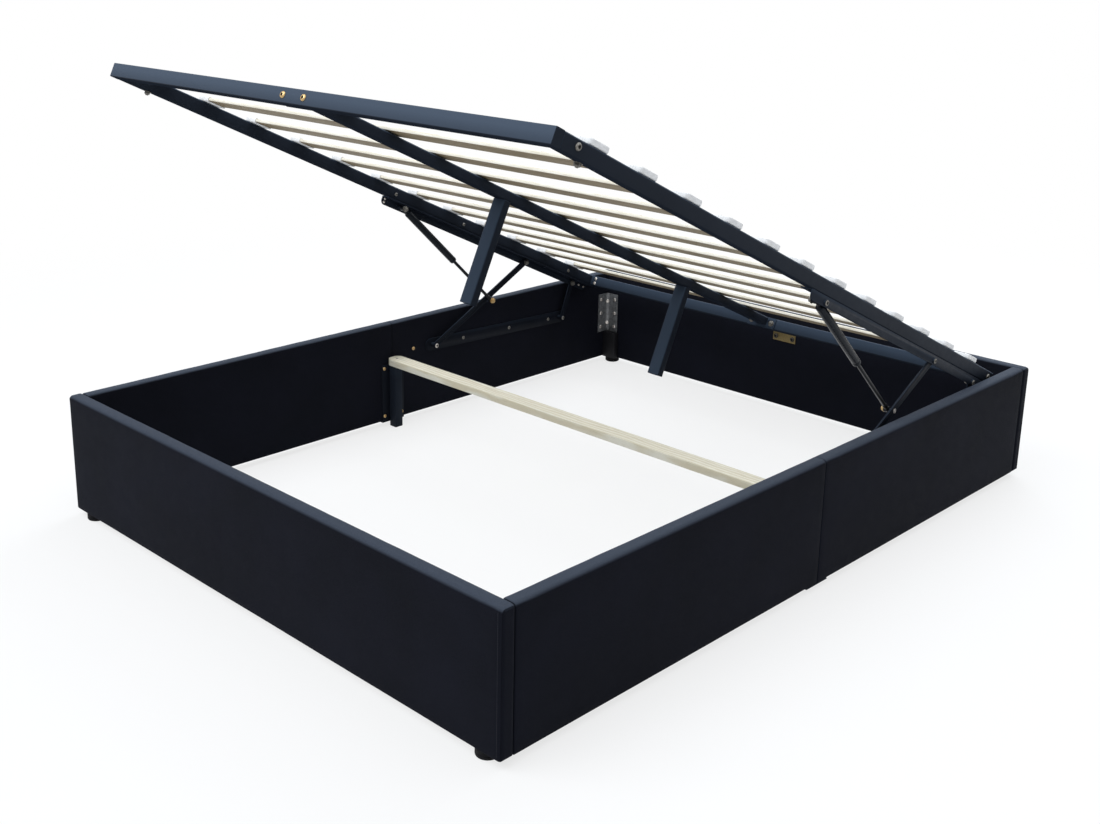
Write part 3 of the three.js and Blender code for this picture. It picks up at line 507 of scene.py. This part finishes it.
def arc(cy, cz, radius, start, end, steps):
    """Points (y, z) on an arc between two angles in degrees."""
    points = []
    for i in range(steps + 1):
        turn = math.radians(start + (end - start) * i / steps)
        points.append((cy + radius * math.cos(turn), cz + radius * math.sin(turn)))
    return points


def rounded(half_y, half_z, radius, steps=4):
    """Outline of a rounded rectangle, centred."""
    y, z, r = half_y - radius, half_z - radius, radius
    return (arc(y, z, r, 0, 90, steps) + arc(-y, z, r, 90, 180, steps)
            + arc(-y, -z, r, 180, 270, steps) + arc(y, -z, r, 270, 360, steps))


def along_x(outline, x):
    return [(x, y, z) for y, z in outline]


# Heads and nuts, seated at height 0
BUTTON_HEAD = turned([
    (0.0072, 0), (0.0079, 0.0006), (0.0077, 0.0016), (0.0066, 0.0032), (0.0044, 0.0041),
    (0.0038, 0.0041, 0.3), (0.0034, 0.0037, 1), (0.0034, 0.0012, 1)])
SOCKET = turned([(0.0033, 0.0024, 1), (0.0033, 0.0032, 1)])
SMALL_HEAD = turned([
    (0.0052, 0), (0.0057, 0.0005), (0.0054, 0.0015), (0.0044, 0.0028), (0.003, 0.0034),
    (0.0026, 0.0034, 0.3), (0.0024, 0.003, 1), (0.0024, 0.001, 1)])
HEX_NUT = turned([
    (0.0088, 0), (0.0092, 0.0004), (0.0092, 0.001), (0.0088, 0.0013),
    (0.0062, 0.0013, 1), (0.0066, 0.002, 1), (0.0066, 0.0066, 1), (0.0058, 0.0074),
    (0.0042, 0.0074), (0.0038, 0.0068), (0.0036, 0.0092), (0.0028, 0.0098)])
RIVET = turned([
    (0.0060, 0), (0.0066, 0.0004), (0.0066, 0.0009), (0.0058, 0.0019), (0.004, 0.0027),
    (0.0018, 0.003)])
PIN_HEAD = turned([
    (0.0062, 0), (0.0068, 0.0005), (0.0067, 0.0014), (0.0058, 0.0024), (0.0042, 0.0029),
    (0.0037, 0.0027), (0.0035, 0.001)])
PIN_CENTRE = turned([(0.0036, 0.0012), (0.0036, 0.002), (0.002, 0.0022)])
FLUSH_HEAD = turned([
    (0.0064, 0), (0.0064, 0.0003), (0.006, 0.0006), (0.0034, 0.0006), (0.003, 0.0002)])
SCREW_HEAD = turned([
    (0.0046, 0), (0.0048, 0.0008), (0.0042, 0.0016), (0.002, 0.0018),
    (0.0018, 0.0016, 1), (0.0016, 0.0004, 1)])
SMALL_SCREW = turned([
    (0.0036, 0), (0.0042, 0.0004), (0.0036, 0.0018), (0.0018, 0.0026),
    (0.0014, 0.0026, 1), (0.0012, 0.0012, 1)], 18)


# ---------------------------------------------------------------- upholstered panels

SEWN_RADIUS = 0.009  # at the ends of the foot and head panels
BUTT_RADIUS = 0.0035  # where rail halves meet
BOTTOM_RADIUS = 0.004
TOP_INNER = 0.007
TOP_OUTER = 0.011
CROWN = 0.0015
OUTER_Y = CROWN - THICK
STEP = 0.0165  # between rows of points
SEAM_DEPTH = 0.0005
# Slack of the cover: heights of the long and short waves, the top's ripples and corner puckers
WAVE, SHORT_WAVE, RIPPLE, PUCKER = 0.0005, 0.00012, 0.00035, 0.0007
# How far in from an end or the top edge each of these grows or fades
CROWN_RUN, WAVE_RUN, EDGE_RUN, PUCKER_RUN = 0.06, 0.03, 0.03, 0.045
OUTER_SIDE_Y = -0.018  # points beyond this belong to the outer face
STITCH_PITCH = 0.0055
# Butt joints between the rails and the panels, and between the rail halves
END_GAP, MIDDLE_GAP = 0.0003, 0.00015


def panel_outline(inset, crown):
    """Section of a wrapped panel: inner face at y = 0, outer towards -Y, bottom at z = 0."""
    outer = OUTER_Y + inset
    inner, low, high = -inset, inset, HEIGHT - inset
    bottom, top_in, top_out = (max(radius - inset, radius * 0.3)
                               for radius in (BOTTOM_RADIUS, TOP_INNER, TOP_OUTER))
    run = 17
    points = arc(inner - bottom, low + bottom, bottom, -90, 0, 3)
    for i in range(1, run):
        z = low + bottom + (high - top_in - low - bottom) * i / run
        points.append((inner, z))
    points += arc(inner - top_in, high - top_in, top_in, 0, 90, 5)
    points.append(((inner - top_in + outer + top_out) / 2, high))
    points += arc(outer + top_out, high - top_out, top_out, 90, 180, 7)
    for i in range(1, run):
        share = i / run
        z = high - top_out + (low + bottom - high + top_out) * share
        points.append((outer - crown * CROWN * math.sin(math.pi * share), z))
    points += arc(outer + bottom, low + bottom, bottom, 180, 270, 3)
    points.append(((inner + outer) / 2, low))
    return points


def end_rings(radius, sewn):
    """(distance from the end, inset, lift) for one rounded end; a seam dips between two ridges."""
    rings = [(0.0, radius + 0.0035, 0), (0.0, radius + 0.0015, 0)]
    seam = {39: 1, 44: -2, 49: 1} if sewn else {}
    for turn in (0, 14, 26, 34, 39, 44, 49, 54, 68, 90):
        t = math.radians(turn)
        rings.append((radius * (1 - math.cos(t)), radius * (1 - math.sin(t)),
                      seam.get(turn, 0) * SEAM_DEPTH))
    return rings


def panel(name, length, place, spin, seed, sewn, node):
    """The wrapped cover of one panel, lofted along X and then turned into place."""
    half = length / 2
    radius = SEWN_RADIUS if sewn else BUTT_RADIUS
    ends = end_rings(radius, sewn)
    rows = [(-half + d, inset, lift) for d, inset, lift in ends]
    count = max(2, round((length - 2 * radius) / STEP))
    for i in range(1, count):
        rows.append((-half + radius + (length - 2 * radius) * i / count, 0, 0))
    rows += [(half - d, inset, lift) for d, inset, lift in reversed(ends)]
    rings = []
    for x, inset, lift in rows:
        near = min(1, max(0, (half - abs(x) - radius) / CROWN_RUN))
        rings.append(along_x(panel_outline(inset - lift, math.sin(near * math.pi / 2)), x))
    verts, faces = skin(rings)
    shape = wrinkled(verts, half, seed), faces
    turn = Matrix.Translation(place) @ Matrix.Rotation(spin, 4, "Z")
    thing = piece(name, shape, LEATHER, "frame", turn, sharp=80)
    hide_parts(node)
    if sewn:
        stitches(name, half, turn)


def wrinkled(verts, half, seed):
    """Slack of the cover: waves on the faces, ripples at the top edge, puckers at the corners."""
    out = []
    offset = Vector((seed * 3.1, seed * 1.7, seed * 5.3))
    for x, y, z in verts:
        p = Vector((x, y, z))
        from_end = half - abs(x)
        on_outer = min(1, max(0, (-y - 0.02) / 0.012))
        face = min(1, from_end / WAVE_RUN)
        wave = WAVE * noise.noise(p * 4 + offset) + SHORT_WAVE * noise.noise(p * 15 + offset)
        edge = math.exp(-((HEIGHT - z) / EDGE_RUN) ** 2)
        ripple = RIPPLE * edge * noise.noise(Vector((x * 22, z * 4, seed)))
        reach = math.hypot(from_end, (HEIGHT - z) * 0.8)
        turn = math.atan2(HEIGHT - z, from_end + 1e-6)
        pucker = PUCKER * math.exp(-(reach / PUCKER_RUN) ** 2) * math.sin(turn * 11 + seed)
        depth = (wave + ripple) * face + pucker * min(1, from_end / 0.008)
        sign = -1 if y < OUTER_SIDE_Y else 1
        level = on_outer if sign < 0 else 0.5
        lift = (wave * 0.5 + ripple + 0.6 * pucker) * edge * face
        out.append((x, y + sign * depth * max(level, 0.2), z + lift))
    return out


def stitches(name, half, turn):
    """A row of topstitching beside the seam at each end, up the outer face and over the top."""
    rows = Cluster()
    thin, full = rounded(0.0003, 0.00022, 0.0002, 2), rounded(0.0005, 0.0004, 0.00035, 2)
    stitch = skin([along_x(thin, -0.0016), along_x(full, -0.0009),
                   along_x(full, 0.0009), along_x(thin, 0.0016)])
    lowest, length, count = 0.008, 0.2905, 58
    path = [(OUTER_Y, lowest + length * i / count) for i in range(count + 1)]
    path += reversed(arc(OUTER_Y + TOP_OUTER, HEIGHT - TOP_OUTER, TOP_OUTER, 90, 172, 3))
    path += [(OUTER_Y + TOP_OUTER + STITCH_PITCH * i, HEIGHT) for i in range(1, 4)]
    across = Vector((1, 0, 0))
    tilt = Matrix.Rotation(math.radians(7), 4, "Z")
    for end in (-1, 1):
        x = end * (half - SEWN_RADIUS - 0.002)
        for (y0, z0), (y1, z1) in zip(path, path[1:]):
            along = Vector((0, y1 - y0, z1 - z0)).normalized()
            basis = Matrix((along, across, along.cross(across))).transposed().to_4x4()
            middle = Vector((x, (y0 + y1) / 2, (z0 + z1) / 2))
            rows.add(stitch, Matrix.Translation(middle) @ basis @ tilt)
    rows.make(f"{name}_stitching", THREAD, "frame", "faux_leather", turn)


def make_panels():
    width = 2 * HALF_WIDTH
    panel("foot_panel_cover", width, (0, -INNER_Y, FOOT), 0, 1, True, "foot_panel")
    panel("head_panel_cover", width, (0, INNER_Y, FOOT), math.pi, 2, True, "head_panel")
    rail = INNER_Y - END_GAP - MIDDLE_GAP
    middle = (INNER_Y - MIDDLE_GAP) / 2
    seed = 3
    for side, sx in SIDES:
        for end, sy in ENDS:
            node = f"side_rail_{side}_{end}"
            place = (sx * INNER_X, sy * middle, FOOT)
            panel(f"{node}_cover", rail, place, sx * math.pi / 2, seed, False, node)
            seed += 1


# ---------------------------------------------------------------- slats and caps

SLATS, FIRST_SLAT, SLAT_PITCH = 12, 0.125, 0.1554
SLAT_HALF_WIDTH, SLAT_HALF_THICK, SLAT_RADIUS = 0.0265, 0.004, 0.0024
SLAT_BOW = 0.0003
CAP_WALL = 0.003
CAP_GAP = 0.0003  # between the side tubes and the caps
SLAT_Z = CAP_GAP + CAP_WALL + SLAT_HALF_THICK
CAP_HALF_WIDTH, CAP_HALF_THICK = 0.029, 0.00675
CAP_RADIUS, CAP_SHOULDER = 0.003, 0.009
CAP_GROOVES = (0.014, 0.020, 0.026)
CAP_LENGTH = 0.046
# Half width, half thickness and radius of a groove, the rim of the mouth, and the mouth's wall
GROOVE, RIM = (0.0284, 0.0062, 0.0026), (0.0282, 0.0061, 0.0026)
MOUTH, MOUTH_END = (0.0271, 0.0046, 0.0026), (0.0268, 0.0043, 0.0024)


def slat_shape(y, seed):
    """A slightly wavy strip that ends inside its two caps."""
    half = PLATFORM_X - 2 * CAP_WALL
    outline = rounded(SLAT_HALF_WIDTH, SLAT_HALF_THICK, SLAT_RADIUS, 3)
    rings = []
    count = 26
    for i in range(count + 1):
        x = -half + 2 * half * i / count
        lift = SLAT_BOW * noise.noise(Vector((x * 3, seed, 0)))
        rings.append([(x, y + py, SLAT_Z + pz + lift) for py, pz in outline])
    return skin(rings)


def cap_shape(sign, y):
    """Sleeve over a slat's end: round shoulders outside, an open mouth inside, with ribs."""
    rings = []
    centre = CAP_GAP + CAP_HALF_THICK

    def ring(depth, half_y=CAP_HALF_WIDTH, half_z=CAP_HALF_THICK, radius=CAP_RADIUS):
        outline = rounded(half_y, half_z, radius, 4)
        rings.append([(sign * (PLATFORM_X - depth), y + py, centre + pz) for py, pz in outline])

    for step in reversed(range(6)):
        t = math.radians(90 * step / 5)
        ring(CAP_SHOULDER * (1 - math.sin(t)), CAP_HALF_WIDTH - CAP_SHOULDER * (1 - math.cos(t)),
             CAP_HALF_THICK - 0.002 * (1 - math.cos(t)))
    for place in CAP_GROOVES:
        ring(place)
        ring(place + 0.0006, *GROOVE)
        ring(place + 0.0018, *GROOVE)
        ring(place + 0.0024)
    ring(CAP_LENGTH - 0.0015)
    ring(CAP_LENGTH, *RIM)
    ring(CAP_LENGTH, *MOUTH)
    ring(CAP_LENGTH - 0.005, *MOUTH_END)
    return skin(rings)


def make_slats():
    for i in range(1, SLATS + 1):
        y = FIRST_SLAT + SLAT_PITCH * (i - 1)
        strip = piece(f"slat_strip_{i:02d}", slat_shape(y, i * 7.3), SLAT, "platform",
                      PLATFORM)
        strip.data.materials.append(SHADED_UNDERSIDE_VENEER)
        strip.data.materials.append(UPPER_VENEER)
        # Undersides take the darker veneer, painted shade; tops take the paler one.
        for face in strip.data.polygons:
            if abs(face.normal.z) > 0.8:
                face.material_index = 1 if face.normal.z < 0 else 2
        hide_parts(f"slat_{i:02d}")
        for side, sign in SIDES:
            piece(f"slat_cap_{side}_{i:02d}", cap_shape(sign, y), CAP, "platform",
                  PLATFORM)


# ---------------------------------------------------------------- CAD steel and timber

def smooth_tree():
    """Node modifier that shades smooth except across edges over 33 degrees."""
    tree = bpy.data.node_groups.new("smooth_by_angle", "GeometryNodeTree")
    tree.interface.new_socket("Geometry", in_out="INPUT", socket_type="NodeSocketGeometry")
    tree.interface.new_socket("Geometry", in_out="OUTPUT", socket_type="NodeSocketGeometry")
    start = tree.nodes.new("NodeGroupInput")
    end = tree.nodes.new("NodeGroupOutput")
    faces = tree.nodes.new("GeometryNodeSetShadeSmooth")
    faces.domain = "FACE"
    edges = tree.nodes.new("GeometryNodeSetShadeSmooth")
    edges.domain = "EDGE"
    edges.inputs["Shade Smooth"].default_value = False
    angle = tree.nodes.new("GeometryNodeInputMeshEdgeAngle")
    over = tree.nodes.new("FunctionNodeCompare")
    over.data_type = "FLOAT"
    over.operation = "GREATER_THAN"
    over.inputs[1].default_value = math.radians(33)
    tree.links.new(angle.outputs["Unsigned Angle"], over.inputs[0])
    tree.links.new(start.outputs[0], faces.inputs["Geometry"])
    tree.links.new(faces.outputs[0], edges.inputs["Geometry"])
    tree.links.new(over.outputs[0], edges.inputs["Selection"])
    tree.links.new(edges.outputs[0], end.inputs[0])
    return tree


def dress(name, mat, width):
    """Own material and softened edges for a CAD node that stays."""
    node = NODES[name]
    node.data.materials.clear()
    node.data.materials.append(mat)
    weld = node.modifiers.new("weld", "WELD")
    weld.merge_threshold = 1e-5
    flat = node.modifiers.new("flat", "DECIMATE")
    flat.decimate_type = "DISSOLVE"
    flat.angle_limit = math.radians(0.4)
    edge = node.modifiers.new("edge", "BEVEL")
    edge.width = width
    edge.segments = 2
    edge.limit_method = "ANGLE"
    edge.angle_limit = math.radians(50)
    edge.use_clamp_overlap = True
    shade = node.modifiers.new("shade", "NODES")
    shade.node_group = SMOOTH


def span(name, matrix):
    """Lowest and highest corner of a CAD node, measured along the axes of matrix."""
    node = NODES[name]
    turn = matrix.inverted() @ node.matrix_world
    points = [turn @ v.co for v in node.data.vertices]
    low = Vector([min(p[i] for p in points) for i in range(3)])
    high = Vector([max(p[i] for p in points) for i in range(3)])
    return low, high


def box_tube(name, mat, radius=0.004, wall=0.002, capped=False):
    """Rolled steel tube with round corners, open or capped at both ends, in a CAD node's place."""
    low, high = span(name, PLATFORM)
    size = high - low
    long = max(range(3), key=lambda i: size[i])
    a, b = (i for i in range(3) if i != long)
    middle = (low + high) / 2
    rim = 0.0005

    def ring(place, inset):
        corner = max(radius - inset, 0.001)
        points = []
        for u, w in rounded(size[a] / 2 - inset, size[b] / 2 - inset, corner, 4):
            point = Vector(middle)
            point[a] += u
            point[b] += w
            point[long] = place
            points.append(point)
        return points

    start, end = low[long], high[long]
    rings = [ring(start, rim), ring(start + rim, 0), ring(end - rim, 0), ring(end, rim)]
    if not capped:
        rings += [ring(end, wall), ring(start, wall), ring(start, rim)]
    tube = piece(f"{name}_tube", skin(rings, capped, capped), mat, "platform",
                 PLATFORM)
    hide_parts(name)


def make_tubes():
    for name in NODES:
        if name == "front_bar":
            # The front bar takes the lit copy of the coat: painted light.
            box_tube(name, FRONT_COAT_PAINTED_LIGHT, 0.0022, capped=True)
        elif name == "centre_bar" or name.startswith(("head_crossbar", "side_tube", "centre_leg")):
            box_tube(name, COAT)


def dress_cad():
    finishes = {
        ("corner_bracket",): (BRACKET, 0.0004),
        ("joint_plate", "base_plate", "front_link", "rear_link"): (DARK_COAT, 0.0004),
        ("upper_bar",): (COAT, 0.0013),
        ("mid_leg", "centre_bar_flange"): (COAT, 0.0012),
        ("tube_spigot",): (COAT, 0.0006),
        ("head_panel_plate",): (BRASS, 0.0005),
        ("corner_block",): (BLOCK, 0.0015),
        ("timber_cross_slat",): (PINE, 0.0012)}
    for name in NODES:
        for starts, (mat, width) in finishes.items():
            if name.startswith(starts):
                dress(name, mat, width)


# ---------------------------------------------------------------- feet, struts, fasteners

FOOT_IN_X, FOOT_IN_Y = 0.06, 0.027  # from the bed's sides and ends


def make_feet():
    shape = turned([
        (0.016, 0.0004), (0.0215, 0), (0.0238, 0.0012), (0.025, 0.0034), (0.025, 0.0068),
        (0.0236, 0.0078), (0.0236, 0.0088), (0.025, 0.0098), (0.025, 0.0162), (0.0236, FOOT)], 48)
    for side, sx in SIDES:
        for end, sy in ENDS:
            place = Matrix.Translation(
                (sx * (HALF_WIDTH - FOOT_IN_X), sy * (HALF_LENGTH - FOOT_IN_Y), 0))
            foot = piece(f"round_foot_{side}_{end}", shape, RUBBER, "frame", place)
            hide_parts(f"foot_{side}_{end}")


# Stud of the strut on the front link: along and off the line between the link's pivots
STUD_ALONG, STUD_OFF = 0.251, -0.005
STRUT_TUBE_SHARE = 0.552  # of the strut's length when open
EYE_HALF = 0.006
TOP_NUT_IN = 0.0093


def make_struts():
    top = PIVOTS["strut_tube_left_pivot"]
    line = PIVOTS["platform_pivot"] - BASE_PIVOT
    angle = math.atan2(line.y, line.x)
    stud = BASE_PIVOT + Vector((STUD_ALONG * math.cos(angle) - STUD_OFF * math.sin(angle),
                                STUD_ALONG * math.sin(angle) + STUD_OFF * math.cos(angle)))
    length = (stud - top).length
    end = length * STRUT_TUBE_SHARE
    aim = Vector((0, stud.x - top.x, stud.y - top.y)).normalized()
    tube = turned([
        (0.0046, 0.007), (0.0048, 0.0085), (0.0048, 0.0215), (0.007, 0.0232), (0.0096, 0.024),
        (0.0107, 0.0255), (0.011, 0.028), (0.011, end - 0.016), (0.0107, end - 0.0145),
        (0.0103, end - 0.013), (0.0107, end - 0.0115), (0.011, end - 0.010), (0.011, end - 0.003),
        (0.0104, end - 0.001), (0.009, end), (0.0058, end), (0.0054, end - 0.0015)], 32)
    rod = turned([
        (0.0049, end - 0.06), (0.005, end - 0.059), (0.005, length - 0.022),
        (0.0049, length - 0.0215), (0.0058, length - 0.0205), (0.0062, length - 0.0195),
        (0.0062, length - 0.009), (0.0056, length - 0.0075), (0.0046, length - 0.006)], 32)
    eye = turned([
        (0.0043, -EYE_HALF), (0.0072, -EYE_HALF), (0.008, -0.0052), (0.008, 0.0052),
        (0.0072, EYE_HALF), (0.0043, EYE_HALF)], 28)
    for side, sign in SIDES:
        x, inward = sign * STRUT_X, (-sign, 0, 0)
        axis = facing((x, top.x, top.y), aim)
        body = Cluster()
        body.add(tube, axis)
        body.add(eye, facing((x, top.x, top.y), (1, 0, 0)))
        case = body.make(f"strut_body_{side}", GLOSS, f"strut_tube_{side}", "strut_body")
        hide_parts(f"strut_tube_{side}")
        shaft = Cluster()
        shaft.add(rod, axis)
        piston = shaft.make(f"strut_piston_{side}", ROD, f"strut_rod_{side}", "strut_rod")
        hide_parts(f"strut_rod_{side}")
        end_eye = Cluster()
        end_eye.add(eye, facing((x, stud.x, stud.y), (1, 0, 0)))
        end_eye.make(f"strut_end_{side}", ROD, f"strut_rod_{side}", "strut_rod")
        bolts(f"strut_stud_nut_{side}", HEX_NUT, [(x - sign * EYE_HALF, stud.x, stud.y)], inward,
              BRASS_BOLT, f"strut_rod_{side}")
        bolts(f"strut_stud_head_{side}", FLUSH_HEAD, [(sign * LINK_X, stud.x, stud.y)],
              (sign, 0, 0), BRIGHT, f"front_link_{side}")
        bolts(f"strut_top_nut_{side}", HEX_NUT, [(x - sign * TOP_NUT_IN, top.x, top.y)], inward)


def bolts(name, shape, spots, direction, mat=None, body="platform"):
    """Equal heads on one body, in zinc by default, with dark discs of painted shade in their
    sockets and pin recesses where they have them.
    """
    mat = mat or ZINC
    group, centres = Cluster(), Cluster()
    for i, spot in enumerate(spots):
        place = facing(spot, direction, i * 0.7)
        group.add(shape, place)
        centres.add(PIN_CENTRE if shape is PIN_HEAD else SOCKET, place)
    # Dark discs in the sockets and pin recesses: painted shade.
    if shape in (BUTTON_HEAD, PIN_HEAD):
        centres.make(f"{name}_sockets", SHADE, body, "black_block")
    slot = {BRASS_BOLT: "yellow_zinc", DARK_BOLT: "black_block", SHADE: "black_block"}
    group.make(name, mat, body, slot.get(mat, "bracket_steel"))


# Places of the fasteners on the frame, (y, z), and their x where it isn't a plate's face
BASE_BOLTS_Y = (0.297, 0.506, 0.695)
BASE_PLATE_SLOPE = 0.0321
JOINT_BOLTS = tuple((y, z) for y in (-0.034, 0.034) for z in (0.036, 0.190))
FLANGE_SCREWS_X, FLANGE_SCREWS = 0.777, ((-0.028, FOOT - PLATE), (0.028, FOOT - PLATE))
RAIL_BOLT = (0.0863, 0.2308)
TIMBER_SCREW_X, TIMBER_SCREW = INNER_X - 0.023, (0, 0.2193)
REAR_LINK_FOOT_X, REAR_LINK_FOOT = 0.7361, (0.7493, 0.2104)
BRACKET_RIVETS_Z = (0.232, 0.182, 0.132)
BRACKET_BEND_RIVETS_Z = (0.222, 0.142)
BRACKET_FACE, BRACKET_HOLE, BRACKET_BEND = 0.0025, 0.036, 0.0062  # in from the corner
HEAD_PLATE_SCREWS_X, HEAD_PLATE_Z = (-0.031, 0.031), 0.2485
# The same on the platform, in its own y and z
PIN_HEAD_X = PLATFORM_X + 0.0028
PIN_PLACES = {"front_pivot": (1.61496, -0.0494), "rear_pivot": (1.8706, -0.0518),
              "strut_pivot": (1.015, -0.050)}
CORNER_BOLTS = ((0.0677, -0.0145), (1.955, -0.017))
TUBE_NUT_X, TUBE_NUT = 0.730, (0.1, -TUBE)
TUBE_BOLTS = ((0.972, -0.020), (1.275, -0.020), (1.815, -0.020))
TUBE_INNER_X = PLATFORM_X - 0.025
BAR_FRONT_SCREWS = ((0.955, -0.042), (0.955, -0.052))
BAR_REAR_SCREWS = ((1.915, -0.047), (1.942, -0.047))
CROSSBAR_END_X, CROSSBAR_END_BOLTS = 0.703, ((1.945, -0.010), (1.945, -0.025))
FLANGE_BOLTS_X = (-0.036, 0.036)
FRONT_FLANGE_Y, REAR_FLANGE_Y, CROSSBAR_REAR_Y = 0.0283, 1.9417, 1.970


def on_platform(x, y, z):
    return PLATFORM @ Vector((x, y, z))


def flange_bolts(name, shape, y, direction, mat=None):
    bolts(name, shape, [on_platform(x, y, -TUBE / 2) for x in FLANGE_BOLTS_X], direction, mat)


def side_fasteners(side, sign, down, front):
    inward, outward = (-sign, 0, 0), (sign, 0, 0)

    def frame_bolts(name, shape, x, places, mat=None, direction=inward):
        spots = [(sign * x, y, z) for y, z in places]
        bolts(f"{name}_{side}", shape, spots, direction, mat, "frame")

    def platform_bolts(name, shape, x, places, direction, mat=None):
        spots = [on_platform(sign * x, y, z) for y, z in places]
        bolts(f"{name}_{side}", shape, spots, direction, mat)

    frame_bolts("base_plate_bolts", SMALL_HEAD, INNER_X - PLATE, [
        (y, BASE_PIVOT.y - (y - BASE_PIVOT.x) * BASE_PLATE_SLOPE) for y in BASE_BOLTS_Y])
    frame_bolts("joint_plate_bolts", SMALL_HEAD, INNER_X - PLATE, JOINT_BOLTS, BRASS_BOLT)
    frame_bolts("joint_plate_screws", SMALL_SCREW, FLANGE_SCREWS_X, FLANGE_SCREWS, DARK_BOLT,
                (0, 0, -1))
    frame_bolts("rail_bolt", SMALL_HEAD, INNER_X, [RAIL_BOLT], BRASS_BOLT)
    platform_bolts("side_tube_bolts", BUTTON_HEAD, PLATFORM_X, CORNER_BOLTS, outward)
    platform_bolts("side_tube_nut", HEX_NUT, TUBE_NUT_X, [TUBE_NUT], down)
    platform_bolts("tube_fixing_bolts", SMALL_HEAD, TUBE_INNER_X, TUBE_BOLTS, inward)
    for end, places in (("front", BAR_FRONT_SCREWS), ("rear", BAR_REAR_SCREWS)):
        platform_bolts(f"bar_{end}_screws", SMALL_SCREW, PLATFORM_X - PLATE, places, inward, BRIGHT)
    platform_bolts("crossbar_end_bolts", SMALL_HEAD, CROSSBAR_END_X, CROSSBAR_END_BOLTS, front,
                   BRIGHT)
    # A dark screw head in the shade material sunk in the timber's hole: painted shade in the hole.
    frame_bolts("timber_screw", SCREW_HEAD, TIMBER_SCREW_X, [TIMBER_SCREW], SHADE, (0, 0, 1))
    for name, place in PIN_PLACES.items():
        platform_bolts(f"{name}_rivet", PIN_HEAD, PIN_HEAD_X, [place], outward)
    for name in ("front_pivot", "rear_pivot"):
        platform_bolts(f"{name}_nut", HEX_NUT, PIN_X, [PIN_PLACES[name]], inward)
    frame_bolts("base_front_pivot_head", PIN_HEAD, PIN_X, [BASE_PIVOT], BRIGHT)
    bolts(f"rear_link_rivet_{side}", RIVET, [(sign * REAR_LINK_FOOT_X, *REAR_LINK_FOOT)], inward,
          body=f"rear_link_{side}")
    for end, sy in ENDS:
        rivets = Cluster()
        along_rail = (BRACKET_FACE, BRACKET_HOLE, inward)
        along_panel = (BRACKET_HOLE, BRACKET_FACE, (0, -sy, 0))
        bend = (BRACKET_BEND, BRACKET_BEND, (-sign, -sy, 0))
        spots = [(z, row) for z in BRACKET_RIVETS_Z for row in (along_rail, along_panel)]
        spots += [(z, bend) for z in BRACKET_BEND_RIVETS_Z]
        for z, (in_x, in_y, out) in spots:
            rivets.add(RIVET, facing((sign * (INNER_X - in_x), sy * (INNER_Y - in_y), z), out))
        rivets.make(f"bracket_bolts_{side}_{end}", BRIGHT, "frame", "bracket_steel")


def make_fasteners():
    down = PLATFORM.to_3x3() @ Vector((0, 0, -1))
    front = PLATFORM.to_3x3() @ Vector((0, -1, 0))
    rear = -front
    for side, sign in SIDES:
        side_fasteners(side, sign, down, front)
    flange_bolts("front_bar_bolts", BUTTON_HEAD, 0, front, BRASS_BOLT)
    flange_bolts("front_flange_nuts", HEX_NUT, FRONT_FLANGE_Y, rear)
    flange_bolts("rear_flange_nuts", HEX_NUT, REAR_FLANGE_Y, front)
    flange_bolts("crossbar_bolts", BUTTON_HEAD, CROSSBAR_REAR_Y, rear)
    spots = [(x, INNER_Y - PLATE, HEAD_PLATE_Z) for x in HEAD_PLATE_SCREWS_X]
    bolts("head_plate_screws", BUTTON_HEAD, spots, (0, -1, 0), DARK_BOLT, "frame")


# ---------------------------------------------------------------- the scene

LEATHER, THREAD, BRACKET, PINE = leather(), thread(), bracket_steel(), pine()
# The front bar gets its own copy of the coat with a paler painted top light: a lit copy of the same
# paint.
FRONT_COAT_PAINTED_LIGHT = powder_coat("front_powder_coat", (30, 34, 42), (34, 39, 48), (68, 78, 92), 0.045)
COAT = powder_coat("powder_coat", (30, 34, 42), (34, 39, 48), (56, 66, 80), 0.045)
DARK_COAT = powder_coat("dark_powder_coat", (18, 20, 26), (22, 24, 31), (36, 42, 52), 0.05)
SLAT = slat_wood("slat_edge", (226, 218, 198), (238, 233, 220), (244, 241, 232))
# The undersides' veneer is a darker copy of the tops': painted shade.
SHADED_UNDERSIDE_VENEER = slat_wood("slat_veneer", (114, 99, 74), (137, 122, 97), (156, 143, 120))
UPPER_VENEER = slat_wood("slat_upper_veneer", (192, 172, 136), (208, 191, 158), (220, 206, 178))
BRASS = metal("yellow_zinc", (90, 78, 50), (118, 104, 72), 0.42)
BRASS_BOLT = metal("yellow_zinc_bolt", (176, 146, 96), (214, 186, 138), 0.34)
BRIGHT = metal("bright_zinc", (176, 170, 164), (222, 216, 210), 0.3)
ZINC = metal("zinc_bolt", (88, 87, 85), (134, 131, 125), 0.42)
SHADE = plastic("socket_shade", (12, 12, 13), (20, 19, 18), 0.6, 0.1)
DARK_BOLT = metal("dark_bolt", (44, 42, 40), (70, 66, 60), 0.42)
ROD = metal("strut_rod", (18, 20, 23), (31, 33, 37), 0.34)
CAP = plastic("cap_plastic", (226, 225, 224), (242, 241, 240), 0.42)
RUBBER = plastic("foot_plastic", (13, 13, 15), (19, 19, 22), 0.55, 0.1)
BLOCK = plastic("black_block", (14, 14, 17), (21, 21, 25), 0.6, 0.2)
GLOSS = plastic("strut_body", (14, 16, 20), (20, 22, 27), 0.26, 0.12, (0.7, 0.85, 1))
SMOOTH = smooth_tree()

make_camera()
make_world()
make_floor()
for lamp in LAMPS:
    make_lamp(*lamp)
make_panels()
make_slats()
make_tubes()
dress_cad()
make_feet()
make_struts()
make_fasteners()

bpy.context.scene.view_settings.view_transform = "Standard"
